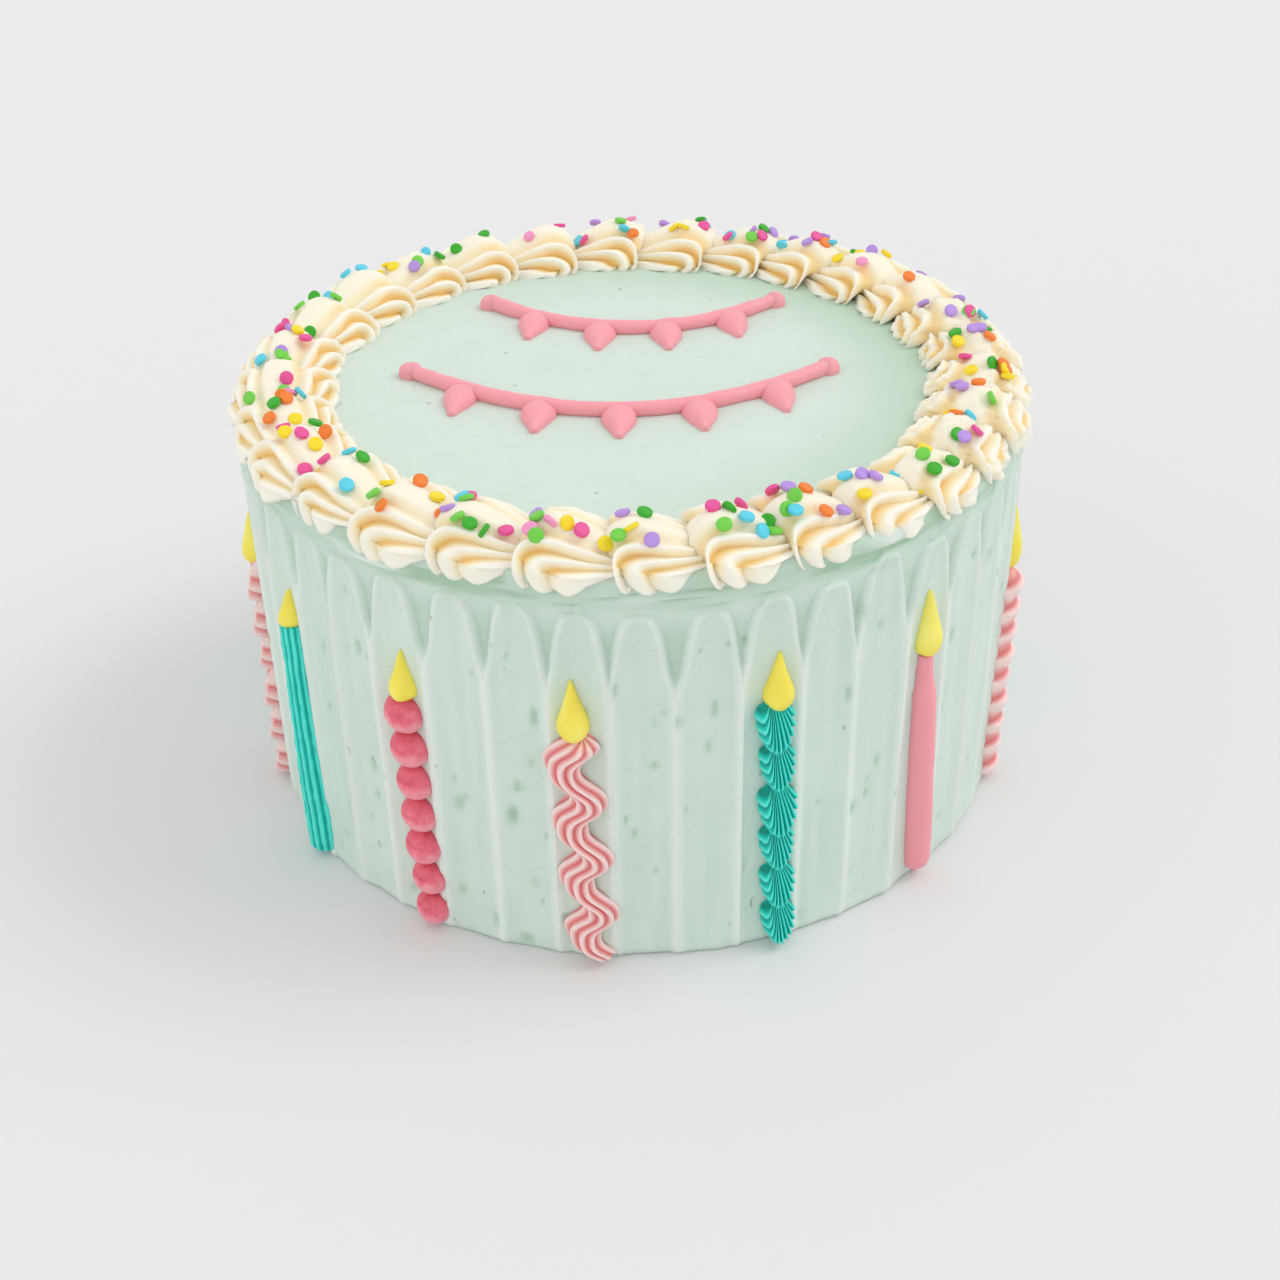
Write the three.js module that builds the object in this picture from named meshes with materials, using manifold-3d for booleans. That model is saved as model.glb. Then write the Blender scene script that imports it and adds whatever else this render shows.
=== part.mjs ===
// Iced birthday cake: a tall round cake in mint buttercream whose side is combed with upright palette-knife
// strokes, a ring of cream piped shells with confetti sprinkles on its rim, fourteen candles piped on its
// side, and two piped garlands on its top. Millimetres, +Z up, origin at the centre of the underside.
// The front faces -Y, and every angle is in degrees from the front, growing towards +X.
import * as THREE from "three";
import Module from "manifold-3d";

const wasm = await Module();
wasm.setup();

// Driving dimensions
const CAKE_RADIUS = 105; // an 8 inch sponge and its icing
const CAKE_HEIGHT = 113.7;
const RIM_ROUNDING = 3; // how far the top edge is rounded off
const FOOT_INSET = 1.2; // how far the icing draws in where it meets the stand
const FOOT_HEIGHT = 2; // height over which it draws in
const SWELL_BELOW_FOOT = 5; // how far a swollen body reaches below the foot, so that it cuts right through
const GAP = 0.3; // clearance between two pieces that touch
const CLEARANCE_SIDES = 29; // sides of the round that is cut out below the border

const STROKE_COUNT = 43; // palette-knife strokes round the side
const STROKE_FIRST_ANGLE = 1;
const STROKE_HOLLOW = 1.2; // depth of a stroke at its middle
const STROKE_HOLLOW_START = 14; // drop below its top at which a stroke is fully hollow
const STROKE_LIP = 0.4; // how far the ridge between two strokes stands out
const STROKE_LIP_START = 4; // drop below its top at which the ridge stands out fully
const STROKE_LIP_WIDTH = 1;
const STROKE_TOP = 105.6; // mean height of the strokes' rounded tops
const STROKE_SPREAD = 27; // drop below its top at which a stroke meets its neighbours
const STROKE_ARCH = 0.3; // how quickly a stroke widens below its top: less is rounder
const STROKE_TIP = 0.8; // half width of a stroke at its very top
const STROKE_UNEVENNESS = { angle: 0.7, top: 2.4 }; // in degrees and millimetres
const STROKE_DROPS = [STROKE_SPREAD, 9, 0]; // drops below its top at which a stroke has points

const SHELL_COUNT = 29; // piped shells in the border
const SHELL_RING_RADIUS = 94.5;
const SHELL_HEAD = 9; // length of a shell's round head
const SHELL_TAIL = 20.8; // length of its tail
const SHELL_HEIGHT = 9.9;
const SHELL_OUTER = 14; // half width towards the rim
const SHELL_INNER = 16.2; // half width towards the middle of the cake
const SHELL_HANG = 6; // how far its outer feet would hang down over the rim, if they were not cut short
const SHELL_INNER_HANG = 2; // the same on the cake's top, where they lie in the icing
const SHELL_LIFT = 0.36; // height of the head's foremost point, as a share of the shell's height
const SHELL_DOME = { from: 0.25, to: 0.5 }; // where the smooth dome passes into the ribs beside it
const SHELL_SQUARENESS = { inner: 0.75, outer: 0.6 }; // how square its ribs turn at the head: 1 is round
const SHELL_FALL = { inner: 0.85, outer: 1.35, tail: 1.35 }; // powers by which its height falls off
const SHELL_HEAD_LOSS = { share: 0.45, power: 2.6 }; // how much shorter its head is at the sides
const SHELL_TAIL_LOSS = 0.25; // how much shorter its tail is there
const SHELL_SWEEP = { length: 13, power: 3.3 }; // how far back its outermost ribs start
const SHELL_WIDENING = 0.9; // power by which its ribs lie closer together towards its sides
const SHELL_NARROWING = { from: 2, share: 0.48 }; // how much narrower it is at the tip of its tail
const SHELL_LANDING = { share: 0.85, from: 70, to: -20 }; // how nearly its ribs come down side by side
const SHELL_FOOT = { width: 0.95, groove: 0.5 }; // its width there, and how much of the grooves is left
const SHELL_UNDERCUT = { share: 0.6, from: 190, to: 250 }; // its narrower underside, which ends in the cake
const SHELL_GROOVE = 0.22; // depth of the star tip's grooves, as a share of the shell's size
const SHELL_FIRST_ANGLE = -1.3;
const SHELL_DRIFT = 4.6; // how far the uneven spacing moves a shell, in degrees
const SHELL_WIDEST_SIDE = 122.5; // the direction from which the drift turns back
const SHELL_GROWTH = 0.09; // how much larger the shells are at the back, and smaller at the front
const SHELL_UNEVENNESS = { angle: 0.5, size: 0.05, yaw: 6, shift: 0.8 };

const SPRINKLE_DIAMETER = 3.7;
const SPRINKLE_THICKNESS = 1.2;
const SPRINKLE_COUNT = 29;
const SPRINKLE_LIFT = 0.3; // how far a disc's middle stands off the icing, as a share of its thickness
const SPRINKLE_TILT = 0.4; // how far a disc may tilt out of the icing's surface, in radians

const CANDLE_BOTTOM = 1; // height of the candles' lower ends
const FLAME_HEIGHT = 4.2; // how far a flame stands out from the side
const PIPED_ROOT = 115; // degrees a piped section runs to each side, so that its back lies in the cake
const BEAD_UNEVENNESS = 0.3; // how far a bead or fan sits to one side
const TWIST_GROOVE = 0.18; // depth of the grooves of a twisted rope, as a share of its radius

const GARLAND_THICKNESS = 4.2;
const GARLAND_DROP = { width: 9.5, length: 14, height: 4 };
const GARLAND_DROP_LEAN = 0.25; // how far the end drops lean outwards, in radians

const COLOURS = {
  mint: 0xd3e4d8,
  cream: 0xfaedd2,
  coral: 0xea7284,
  blush: 0xf3bbb9,
  teal: 0x18b9a8,
  yellow: 0xf8e85f,
  rose: 0xf594a0,
};

const ICING_ROUGHNESS = 0.5;

const DEGREE = Math.PI / 180;

// A repeatable number from 0 to 1 for the item i of a series.
function chance(i, series) {
  const wave = Math.sin(i * 12.9898 + series * 78.233) * 43758.5453;
  return wave - Math.floor(wave);
}

function spread(i, series, amount) {
  return (2 * chance(i, series) - 1) * amount;
}

function mix(a, b, share) {
  return a + (b - a) * share;
}

function smooth(edge0, edge1, x) {
  const t = Math.min(1, Math.max(0, (x - edge0) / (edge1 - edge0)));
  return t * t * (3 - 2 * t);
}

// The point at an angle from the front, a distance from the axis and a height.
function polar(degrees, radius, z) {
  return [radius * Math.sin(degrees * DEGREE), -radius * Math.cos(degrees * DEGREE), z];
}

// Degrees round the cake's side that an arc of this length takes.
function arcDegrees(length, radius = CAKE_RADIUS) {
  return length / radius / DEGREE;
}

function solidFrom(points, triangles) {
  const build = (faces) =>
    new wasm.Manifold(
      new wasm.Mesh({
        numProp: 3,
        vertProperties: new Float32Array(points.flat()),
        triVerts: new Uint32Array(faces.flat()),
      }),
    );
  const made = build(triangles);
  return made.volume() > 0 ? made : build(triangles.map(([a, b, c]) => [a, c, b]));
}

// A closed solid through rows of points. Each row is a loop, and a fan round its middle closes each end.
function loft(rows) {
  const count = rows[0].length;
  const points = rows.flat();
  const triangles = [];
  for (let row = 0; row + 1 < rows.length; row++)
    for (let i = 0; i < count; i++) {
      const a = row * count + i;
      const b = row * count + ((i + 1) % count);
      triangles.push([a, b, b + count], [a, b + count, a + count]);
    }
  const ends = [
    [0, rows[0], 1],
    [(rows.length - 1) * count, rows.at(-1), -1],
  ];
  for (const [start, row, turn] of ends) {
    const middle = points.length;
    points.push([0, 1, 2].map((k) => row.reduce((sum, p) => sum + p[k], 0) / count));
    for (let i = 0; i < count; i++) {
      const a = start + i;
      const b = start + ((i + 1) % count);
      triangles.push(turn > 0 ? [a, middle, b] : [a, b, middle]);
    }
  }
  return solidFrom(points, triangles);
}

function solidOfGeometry(geometry) {
  const source = geometry.index ? geometry.toNonIndexed() : geometry;
  const array = source.getAttribute("position").array;
  const keys = new Map();
  const points = [];
  const corners = [];
  for (let i = 0; i < array.length; i += 3) {
    const point = [array[i], array[i + 1], array[i + 2]];
    const key = point.map((x) => Math.round(x * 1e4)).join();
    if (!keys.has(key)) {
      keys.set(key, points.length);
      points.push(point);
    }
    corners.push(keys.get(key));
  }
  const triangles = [];
  for (let i = 0; i < corners.length; i += 3) triangles.push(corners.slice(i, i + 3));
  return solidFrom(
    points,
    triangles.filter(([a, b, c]) => a !== b && b !== c && c !== a),
  );
}

function joined(solids) {
  return solids.reduce((sum, next) => sum.add(next));
}

function largestPiece(solid) {
  return solid.decompose().reduce((best, next) => (next.volume() > best.volume() ? next : best));
}

// The cake: rows of points up its side, three to each knife stroke: left edge, hollow middle and right edge.
// The face between two strokes is the ridge of icing that the knife leaves. grow swells the whole body.
function cakeBody(grow) {
  const pitch = 360 / STROKE_COUNT;
  const fullHalfWidth = (pitch * DEGREE * CAKE_RADIUS - STROKE_LIP_WIDTH) / 2;
  const strokes = Array.from({ length: STROKE_COUNT }, (_, k) => ({
    angle: STROKE_FIRST_ANGLE + pitch * k + spread(k, 1, STROKE_UNEVENNESS.angle),
    top: STROKE_TOP + spread(k, 2, STROKE_UNEVENNESS.top),
  }));
  const side = (heightOf) =>
    strokes.flatMap((stroke) => {
      const z = heightOf(stroke);
      const drop = Math.max(0, stroke.top - z);
      const widened = Math.min(1, (drop / STROKE_SPREAD) ** STROKE_ARCH);
      const halfWidth = Math.max(STROKE_TIP, fullHalfWidth * widened);
      const lip = STROKE_LIP * Math.min(1, drop / STROKE_LIP_START);
      const hollow = STROKE_HOLLOW * smooth(0, STROKE_HOLLOW_START, drop);
      const inset = z < FOOT_HEIGHT ? FOOT_INSET : 0;
      const reach = arcDegrees(halfWidth);
      const radius = CAKE_RADIUS + grow - inset;
      return [
        polar(stroke.angle - reach, radius + lip, z),
        polar(stroke.angle, radius - hollow, z),
        polar(stroke.angle + reach, radius + lip, z),
      ];
    });
  const rim = (inset, z) =>
    side(() => z).map(([x, y]) => {
      const degrees = Math.atan2(x, -y) / DEGREE;
      return polar(degrees, CAKE_RADIUS + grow - inset, z + grow);
    });
  return loft([
    side(() => (grow ? -SWELL_BELOW_FOOT : 0)),
    side(() => FOOT_HEIGHT),
    ...STROKE_DROPS.map((drop) => side((stroke) => stroke.top - drop)),
    rim(0, CAKE_HEIGHT - RIM_ROUNDING),
    rim(RIM_ROUNDING, CAKE_HEIGHT),
  ]);
}

// A shell has a round head and a tail that sinks away from it, along +s, with +w outwards and +z up.
// across runs from -1, the shell's inner side, to 1, its outer side, and turn goes round it lengthwise:
// 0 at the front of the head, 90 over the top and 180 at the tip of the tail. groove draws the surface in.
function shellPoint(shell, across, turn, groove = 0) {
  const inner = across < 0;
  const side = Math.abs(across);
  const ribs = smooth(SHELL_DOME.from, SHELL_DOME.to, side); // 0 on the dome and 1 on the ribs beside it
  const squareness = mix(1, inner ? SHELL_SQUARENESS.inner : SHELL_SQUARENESS.outer, ribs);
  const c = Math.cos(turn * DEGREE);
  const s = Math.sin(turn * DEGREE);
  const full = shell.size * (1 - groove);
  const shortening = Math.sqrt(1 - SHELL_HEAD_LOSS.share * side ** SHELL_HEAD_LOSS.power);
  const nose = full * SHELL_HEAD * shortening * Math.abs(c) ** squareness;
  const tail = shell.size * SHELL_TAIL * (1 - SHELL_TAIL_LOSS * side) * Math.abs(c);
  const along = (c < 0 ? tail : -nose) + SHELL_SWEEP.length * side ** SHELL_SWEEP.power;
  const rise = full * SHELL_HEIGHT * (1 - side ** 2) ** (inner ? SHELL_FALL.inner : SHELL_FALL.outer);
  const up = shellHeight(rise, inner ? SHELL_INNER_HANG : SHELL_HANG, squareness, c, s);
  const reach = shell.size * (inner ? -SHELL_INNER : SHELL_OUTER);
  const narrowing = SHELL_NARROWING.share * smooth(SHELL_NARROWING.from, SHELL_TAIL, along);
  const narrowed = reach * side ** SHELL_WIDENING * (1 - narrowing);
  const landing = SHELL_LANDING.share * smooth(SHELL_LANDING.from, SHELL_LANDING.to, turn) * ribs;
  const landed = mix(narrowed, SHELL_FOOT.width * reach, landing);
  const grooved = 1 - SHELL_FOOT.groove * groove * landing;
  const undercut = SHELL_UNDERCUT.share * smooth(SHELL_UNDERCUT.from, SHELL_UNDERCUT.to, turn);
  const outwards = landed * grooved * (1 - undercut);
  const forward = along * Math.cos(shell.yaw) - outwards * Math.sin(shell.yaw);
  const outer = along * Math.sin(shell.yaw) + outwards * Math.cos(shell.yaw);
  return polar(
    shell.angle + arcDegrees(forward, SHELL_RING_RADIUS),
    SHELL_RING_RADIUS + shell.shift + outer,
    CAKE_HEIGHT + up,
  );
}

// How high a shell's surface lies over the cake's top, where c and s are the cosine and sine of the turn.
function shellHeight(rise, hang, squareness, c, s) {
  if (c < 0) return s < 0 ? hang * s : rise * (1 - Math.abs(c) ** SHELL_FALL.tail);
  const lift = SHELL_LIFT * rise;
  return s < 0 ? lift + (lift + hang) * s : lift + (rise - lift) * s ** squareness;
}

function shellAt(i) {
  const even = (360 / SHELL_COUNT) * i;
  const drift = SHELL_DRIFT * Math.cos((even + 180 - SHELL_WIDEST_SIDE) * DEGREE);
  return {
    angle: SHELL_FIRST_ANGLE + even + drift + spread(i, 3, SHELL_UNEVENNESS.angle),
    size: 1 - SHELL_GROWTH * Math.cos(even * DEGREE) + spread(i, 4, SHELL_UNEVENNESS.size),
    yaw: spread(i, 5, SHELL_UNEVENNESS.yaw) * DEGREE,
    shift: spread(i, 6, SHELL_UNEVENNESS.shift),
  };
}

const SHELLS = Array.from({ length: SHELL_COUNT }, (_, i) => shellAt(i));

// Ribs and grooves across half a shell, from the smooth dome in its middle to its outermost rib.
const SHELL_RIBS = [
  [0.22, 0],
  [0.33, SHELL_GROOVE],
  [0.47, 0],
  [0.6, SHELL_GROOVE],
  [0.76, 0],
  [0.95, SHELL_GROOVE],
];
const SHELL_TURNS = [-50, 20, 75, 135, 225]; // it is cut short below the rim, at -50

function shellSolid(shell) {
  const inner = SHELL_RIBS.map(([across, groove]) => [-across, groove]).reverse();
  const slices = [...inner, ...SHELL_RIBS];
  return loft(
    slices.map(([across, groove]) => SHELL_TURNS.map((turn) => shellPoint(shell, across, turn, groove))),
  );
}

// The facets of a shell's dome that sprinkles lie on: their rows among the turns, and the stretch of each, as
// shares of its length, that the next shell leaves free.
const SPRINKLE_PLACES = [
  { row: 1, from: 0.35, to: 0.9 },
  { row: 2, from: 0.05, to: 0.45 },
];

// A confetti disc lying on a shell's dome, pressed a little way into it. It lies on one facet of the dome.
function sprinkleSolid(shell, j) {
  const { row, from, to } = SPRINKLE_PLACES[j % SPRINKLE_PLACES.length];
  const [domeEdge] = SHELL_RIBS[0];
  const corner = (across, turn) => new THREE.Vector3(...shellPoint(shell, across, turn));
  const [inner, outer] = [-domeEdge, domeEdge].map((across) => corner(across, SHELL_TURNS[row]));
  const [farInner, farOuter] = [-domeEdge, domeEdge].map((across) => corner(across, SHELL_TURNS[row + 1]));
  const normal = outer.clone().sub(inner).cross(farInner.clone().sub(inner)).normalize();
  if (normal.z < 0) normal.negate();
  const across = 0.5 + spread(j, 7, 0.3);
  const here = inner.lerp(outer, across).lerp(farInner.lerp(farOuter, across), mix(from, to, chance(j, 8)));
  normal.applyAxisAngle(new THREE.Vector3(1, 0, 0), spread(j, 9, SPRINKLE_TILT));
  const radius = SPRINKLE_DIAMETER / 2;
  const disc = new THREE.CylinderGeometry(radius, radius, SPRINKLE_THICKNESS, 6);
  disc.applyQuaternion(new THREE.Quaternion().setFromUnitVectors(new THREE.Vector3(0, 1, 0), normal));
  disc.translate(...here.addScaledVector(normal, SPRINKLE_LIFT * SPRINKLE_THICKNESS).toArray());
  return solidOfGeometry(disc);
}

function borderSolid() {
  const shells = SHELLS.map(shellSolid);
  const sprinkles = Array.from({ length: SPRINKLE_COUNT }, (_, j) =>
    sprinkleSolid(SHELLS[Math.floor((j * SHELL_COUNT) / SPRINKLE_COUNT)], j),
  );
  return joined([...shells, ...sprinkles]);
}

// A piped candle is a row of half-round sections up the cake's side. Each section is [height, sideways shift,
// half width, how far it stands out], and ripple is the depth of the star tip's flutes.
function stripSolid(candle, sections, points, ripple) {
  return loft(
    sections.map(([z, sideways, halfWidth, proud], row) =>
      Array.from({ length: points }, (_, i) => {
        const round = mix(-PIPED_ROOT, PIPED_ROOT, i / (points - 1)) * DEGREE;
        const flute = 1 - (i % 2 ? ripple : 0);
        const twist = candle.kind === "twist" && (row + i) % 2 ? 1 - TWIST_GROOVE : 1;
        const x = sideways + halfWidth * Math.sin(round) * flute * twist;
        const y = proud * Math.cos(round) * flute * twist;
        const lean = mix(candle.bottomAngle, candle.topAngle, z / candle.top);
        return polar(lean + arcDegrees(x), CAKE_RADIUS + y, z);
      }),
    ),
  );
}

// The sections of one bead or shell after another, each given as [share of its height, half width, proud].
function beads(candle, count, profile) {
  const step = (candle.top - candle.bottom) / count;
  const sections = [];
  for (let bead = 0; bead < count; bead++)
    for (const [share, halfWidth, proud] of profile)
      sections.push([
        candle.bottom + (bead + share) * step,
        spread(bead, 10, BEAD_UNEVENNESS),
        halfWidth,
        proud,
      ]);
  const [, halfWidth, proud] = profile[0];
  sections.push([candle.top, 0, halfWidth, proud]);
  return sections;
}

const CANDLE_KINDS = {
  // ridged rope, drawn straight down
  rope(candle) {
    const at = (share, halfWidth, proud) => [mix(candle.bottom, candle.top, share), 0, halfWidth, proud];
    return [[at(0, 3.4, 3), at(0.04, 5, 5), at(1, 4.2, 4.3)], 11, 0.14];
  },
  // seven smooth beads
  dots(candle) {
    return [
      beads(candle, 7, [
        [0, 2.8, 1.9],
        [0.5, 5.1, 3.9],
      ]),
      5,
      0,
    ];
  },
  // ridged band piped from side to side
  zigzag(candle) {
    const bends = 8;
    const sections = Array.from({ length: bends + 1 }, (_, i) => {
      const end = i === 0 || i === bends ? 0.7 : 1;
      return [mix(candle.bottom, candle.top, i / bends), i % 2 ? -3 : 3, 4.8 * end, 5.6 * end];
    });
    return [sections, 5, 0.1];
  },
  // six ridged fans, each spreading downwards over the next
  fans(candle) {
    return [
      beads(candle, 6, [
        [0.02, 3.8, 4],
        [0.26, 5.4, 6],
      ]),
      5,
      0.12,
    ];
  },
  // smooth tube with a thin neck
  tube(candle) {
    const at = (share, halfWidth, proud) => [mix(candle.bottom, candle.top, share), 0, halfWidth, proud];
    return [
      [at(0, 2.8, 2.8), at(0.04, 4.4, 4.5), at(0.83, 3.9, 4), at(0.92, 2.6, 2.8), at(1, 2.3, 2.4)],
      7,
      0,
    ];
  },
  // six ridged star shells
  stars(candle) {
    return [
      beads(candle, 6, [
        [0.02, 3.4, 3],
        [0.34, 5, 5.2],
      ]),
      5,
      0.1,
    ];
  },
  // rope whose ridges wind round it
  twist(candle) {
    const rows = 9;
    const sections = Array.from({ length: rows + 1 }, (_, i) => {
      const end = i === 0 || i === rows ? 0.6 : 1;
      return [mix(candle.bottom, candle.top, i / rows), 0, 5 * end, 5.5 * end];
    });
    return [sections, 7, 0];
  },
};

// A teardrop with a round end at 0 and its tip at 1, as [share of the length, share of the half width].
const TEARDROP = [
  [0, 0.42],
  [0.24, 1],
  [0.56, 0.64],
  [1, 0.08],
];

// Rows of a teardrop, as [across, along, up]. grow swells it.
function teardropRows({ width, length, height }, grow, points = 5) {
  return TEARDROP.map(([share, wide]) =>
    Array.from({ length: points }, (_, i) => {
      const round = mix(-PIPED_ROOT, PIPED_ROOT, i / (points - 1)) * DEGREE;
      const across = ((wide * width) / 2 + grow) * Math.sin(round);
      const along = mix(-grow, length + grow, share);
      return [across, along, (height * wide ** 0.6 + grow) * Math.cos(round)];
    }),
  );
}

function flameSolid(candle, grow) {
  const { angle, width, bottom, top, lean = 0 } = candle.flame;
  const shape = { width, length: top - bottom, height: FLAME_HEIGHT };
  return loft(
    teardropRows(shape, grow).map((row) =>
      row.map(([across, along, up]) => {
        const sideways = across + (lean * along) / shape.length;
        return polar(angle + arcDegrees(sideways), CAKE_RADIUS + up, bottom + along);
      }),
    ),
  );
}

function candle(kind, colour, bottomAngle, topAngle, top, flame) {
  return { kind, colour, bottomAngle, topAngle, bottom: CANDLE_BOTTOM, top, flame };
}

// The candles in order from the front left, round the front and on round the back. Each has the angles of its
// bottom and its top, because each was piped a little off the upright, then its height and its flame.
const CANDLES = [
  candle("stars", "blush", -76.5, -78, 71, { angle: -78.5, width: 7.2, bottom: 70, top: 87 }),
  candle("rope", "teal", -55.2, -56, 74.5, { angle: -55.9, width: 6.8, bottom: 73.4, top: 84.2 }),
  candle("dots", "coral", -30.3, -32.2, 72, { angle: -31.9, width: 7.6, bottom: 71.2, top: 85 }),
  candle("zigzag", "blush", -6, -8.4, 69.5, { angle: -8, width: 8, bottom: 68.8, top: 85.3 }),
  candle("fans", "teal", 19.5, 18, 75.5, { angle: 18.7, width: 7.8, bottom: 73.7, top: 89.3 }),
  candle("tube", "coral", 45.2, 43.1, 73, { angle: 43.1, width: 7.6, bottom: 72.8, top: 91.3 }),
  candle("twist", "blush", 72.5, 74, 69, { angle: 74, width: 6.6, bottom: 69, top: 88.5, lean: 1.5 }),
  candle("rope", "teal", 101, 100, 74, { angle: 100, width: 7.4, bottom: 72.5, top: 88 }),
  candle("dots", "coral", 126, 127, 71, { angle: 127, width: 7.8, bottom: 70, top: 86 }),
  candle("zigzag", "blush", 153, 151, 70, { angle: 151, width: 8, bottom: 69, top: 86 }),
  candle("fans", "teal", 177, 178, 74, { angle: 178, width: 7.8, bottom: 72.5, top: 88.5 }),
  candle("tube", "coral", 203.5, 202.5, 72, { angle: 202.5, width: 7.6, bottom: 71.4, top: 89.5 }),
  candle("stars", "blush", 229, 228, 71, { angle: 228, width: 7.8, bottom: 70, top: 87 }),
  candle("rope", "teal", 254, 255, 73, { angle: 255, width: 7.4, bottom: 71.5, top: 87 }),
];

// A garland lies on the top: a string that sags between two knots, with drops hanging from it.
const GARLANDS = {
  garland_back: { from: [-41, 52], to: [43, 50], sag: 20, drops: 4 },
  garland_front: { from: [-60, 4], to: [54, 2], sag: 26, drops: 5 },
};

function garlandSolid({ from, to, sag, drops }) {
  const level = CAKE_HEIGHT + 0.35 * GARLAND_THICKNESS;
  const middle = [(from[0] + to[0]) / 2, (from[1] + to[1]) / 2 - 2 * sag];
  const string = new THREE.QuadraticBezierCurve3(
    ...[from, middle, to].map(([x, y]) => new THREE.Vector3(x, y, level)),
  );
  const section = new THREE.Shape(
    Array.from({ length: 5 }, (_, i) => {
      const round = i * 72 * DEGREE;
      const radius = GARLAND_THICKNESS / 2;
      return new THREE.Vector2(radius * Math.cos(round), radius * Math.sin(round));
    }),
  );
  const tube = new THREE.ExtrudeGeometry(section, { steps: 6, curveSegments: 1, extrudePath: string });
  const knots = [from, to].map(([x, y]) => {
    const knot = new THREE.SphereGeometry(0.8 * GARLAND_THICKNESS, 6, 4);
    knot.rotateX(Math.PI / 2).translate(x, y, CAKE_HEIGHT + 0.5);
    return solidOfGeometry(knot);
  });
  const hanging = Array.from({ length: drops }, (_, i) => {
    const share = (i + 0.75) / (drops + 0.5);
    const top = string.getPoint(share);
    const lean = mix(-GARLAND_DROP_LEAN, GARLAND_DROP_LEAN, share);
    return loft(
      teardropRows(GARLAND_DROP, 0).map((row) =>
        row.map(([across, along, up]) => [
          top.x + across * Math.cos(lean) + along * Math.sin(lean),
          top.y - along * Math.cos(lean) + across * Math.sin(lean),
          CAKE_HEIGHT + up,
        ]),
      ),
    );
  });
  return joined([solidOfGeometry(tube), ...knots, ...hanging]);
}

// The finished parts
const cake = new THREE.Group();

function addPart(name, solid, colour) {
  const { numProp, vertProperties, triVerts } = largestPiece(solid).getMesh();
  const positions = new Float32Array((vertProperties.length / numProp) * 3);
  for (let i = 0; i < positions.length / 3; i++)
    positions.set(vertProperties.subarray(i * numProp, i * numProp + 3), i * 3);
  const geometry = new THREE.BufferGeometry();
  geometry.setAttribute("position", new THREE.BufferAttribute(positions, 3));
  geometry.setIndex(new THREE.BufferAttribute(triVerts, 1));
  geometry.computeVertexNormals();
  const material = new THREE.MeshStandardMaterial({
    color: COLOURS[colour],
    roughness: ICING_ROUGHNESS,
    metalness: 0,
    flatShading: true,
  });
  const mesh = new THREE.Mesh(geometry, material);
  mesh.name = name;
  cake.add(mesh);
}

// What the border is cut by: a plain round of few sides that clears the cake's rim all the way round.
function rimClearance() {
  const radius = (CAKE_RADIUS + GAP) / Math.cos(Math.PI / CLEARANCE_SIDES);
  const outline = [
    [0, 0],
    [radius, 0],
    [radius, CAKE_HEIGHT + GAP - RIM_ROUNDING],
    [radius - RIM_ROUNDING, CAKE_HEIGHT + GAP],
    [0, CAKE_HEIGHT + GAP],
  ];
  const round = new THREE.LatheGeometry(
    outline.map(([x, y]) => new THREE.Vector2(x, y)),
    CLEARANCE_SIDES,
  );
  return solidOfGeometry(round.rotateX(Math.PI / 2));
}

const clearance = cakeBody(GAP);
addPart("cake_body", cakeBody(0), "mint");
addPart("piped_border", borderSolid().subtract(rimClearance()), "cream");
CANDLES.forEach((piped, i) => {
  const number = String(i + 1).padStart(2, "0");
  const stick = stripSolid(piped, ...CANDLE_KINDS[piped.kind](piped));
  const socket = flameSolid(piped, GAP);
  addPart(`candle_${number}_stick`, stick.subtract(socket).subtract(clearance), piped.colour);
  addPart(`candle_${number}_flame`, flameSolid(piped, 0).subtract(clearance), "yellow");
});
for (const [name, garland] of Object.entries(GARLANDS))
  addPart(name, garlandSolid(garland).subtract(clearance), "rose");

export default cake;
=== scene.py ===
"""The looks of the iced birthday cake: mint icing drawn up in palette-knife strokes, a border of piped shells
with confetti, candles piped on the side and garlands piped on the top.

Shapes are worked out in millimetres, in the frame of the CAD: +Z up, the front facing -Y, and every angle in
degrees from the front, growing towards +X. A mesh is turned into metres when it is built."""

import itertools
import math

import bpy
import numpy as np
from mathutils import Matrix, Vector


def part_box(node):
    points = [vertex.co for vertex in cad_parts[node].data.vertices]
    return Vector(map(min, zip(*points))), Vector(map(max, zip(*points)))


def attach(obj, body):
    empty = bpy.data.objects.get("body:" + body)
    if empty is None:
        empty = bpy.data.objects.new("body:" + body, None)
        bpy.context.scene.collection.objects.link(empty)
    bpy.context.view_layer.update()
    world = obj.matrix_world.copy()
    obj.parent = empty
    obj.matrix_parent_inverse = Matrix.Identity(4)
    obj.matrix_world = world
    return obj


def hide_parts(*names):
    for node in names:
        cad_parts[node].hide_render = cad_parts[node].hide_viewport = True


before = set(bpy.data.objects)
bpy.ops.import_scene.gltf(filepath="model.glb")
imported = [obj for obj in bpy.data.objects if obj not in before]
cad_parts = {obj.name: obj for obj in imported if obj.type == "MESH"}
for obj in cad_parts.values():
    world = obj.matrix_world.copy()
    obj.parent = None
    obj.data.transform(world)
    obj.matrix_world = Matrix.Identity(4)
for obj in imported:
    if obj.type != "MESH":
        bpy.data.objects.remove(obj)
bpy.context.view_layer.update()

MM = 0.001
BODY = "root"

# Sizes that the CAD shares, apart from SHELL_HANG, which is 6 there
CAKE_RADIUS = 105.0
CAKE_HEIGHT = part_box("cake_body")[1].z / MM
RIM_ROUNDING = 3.0
FOOT_INSET = 1.2

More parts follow.
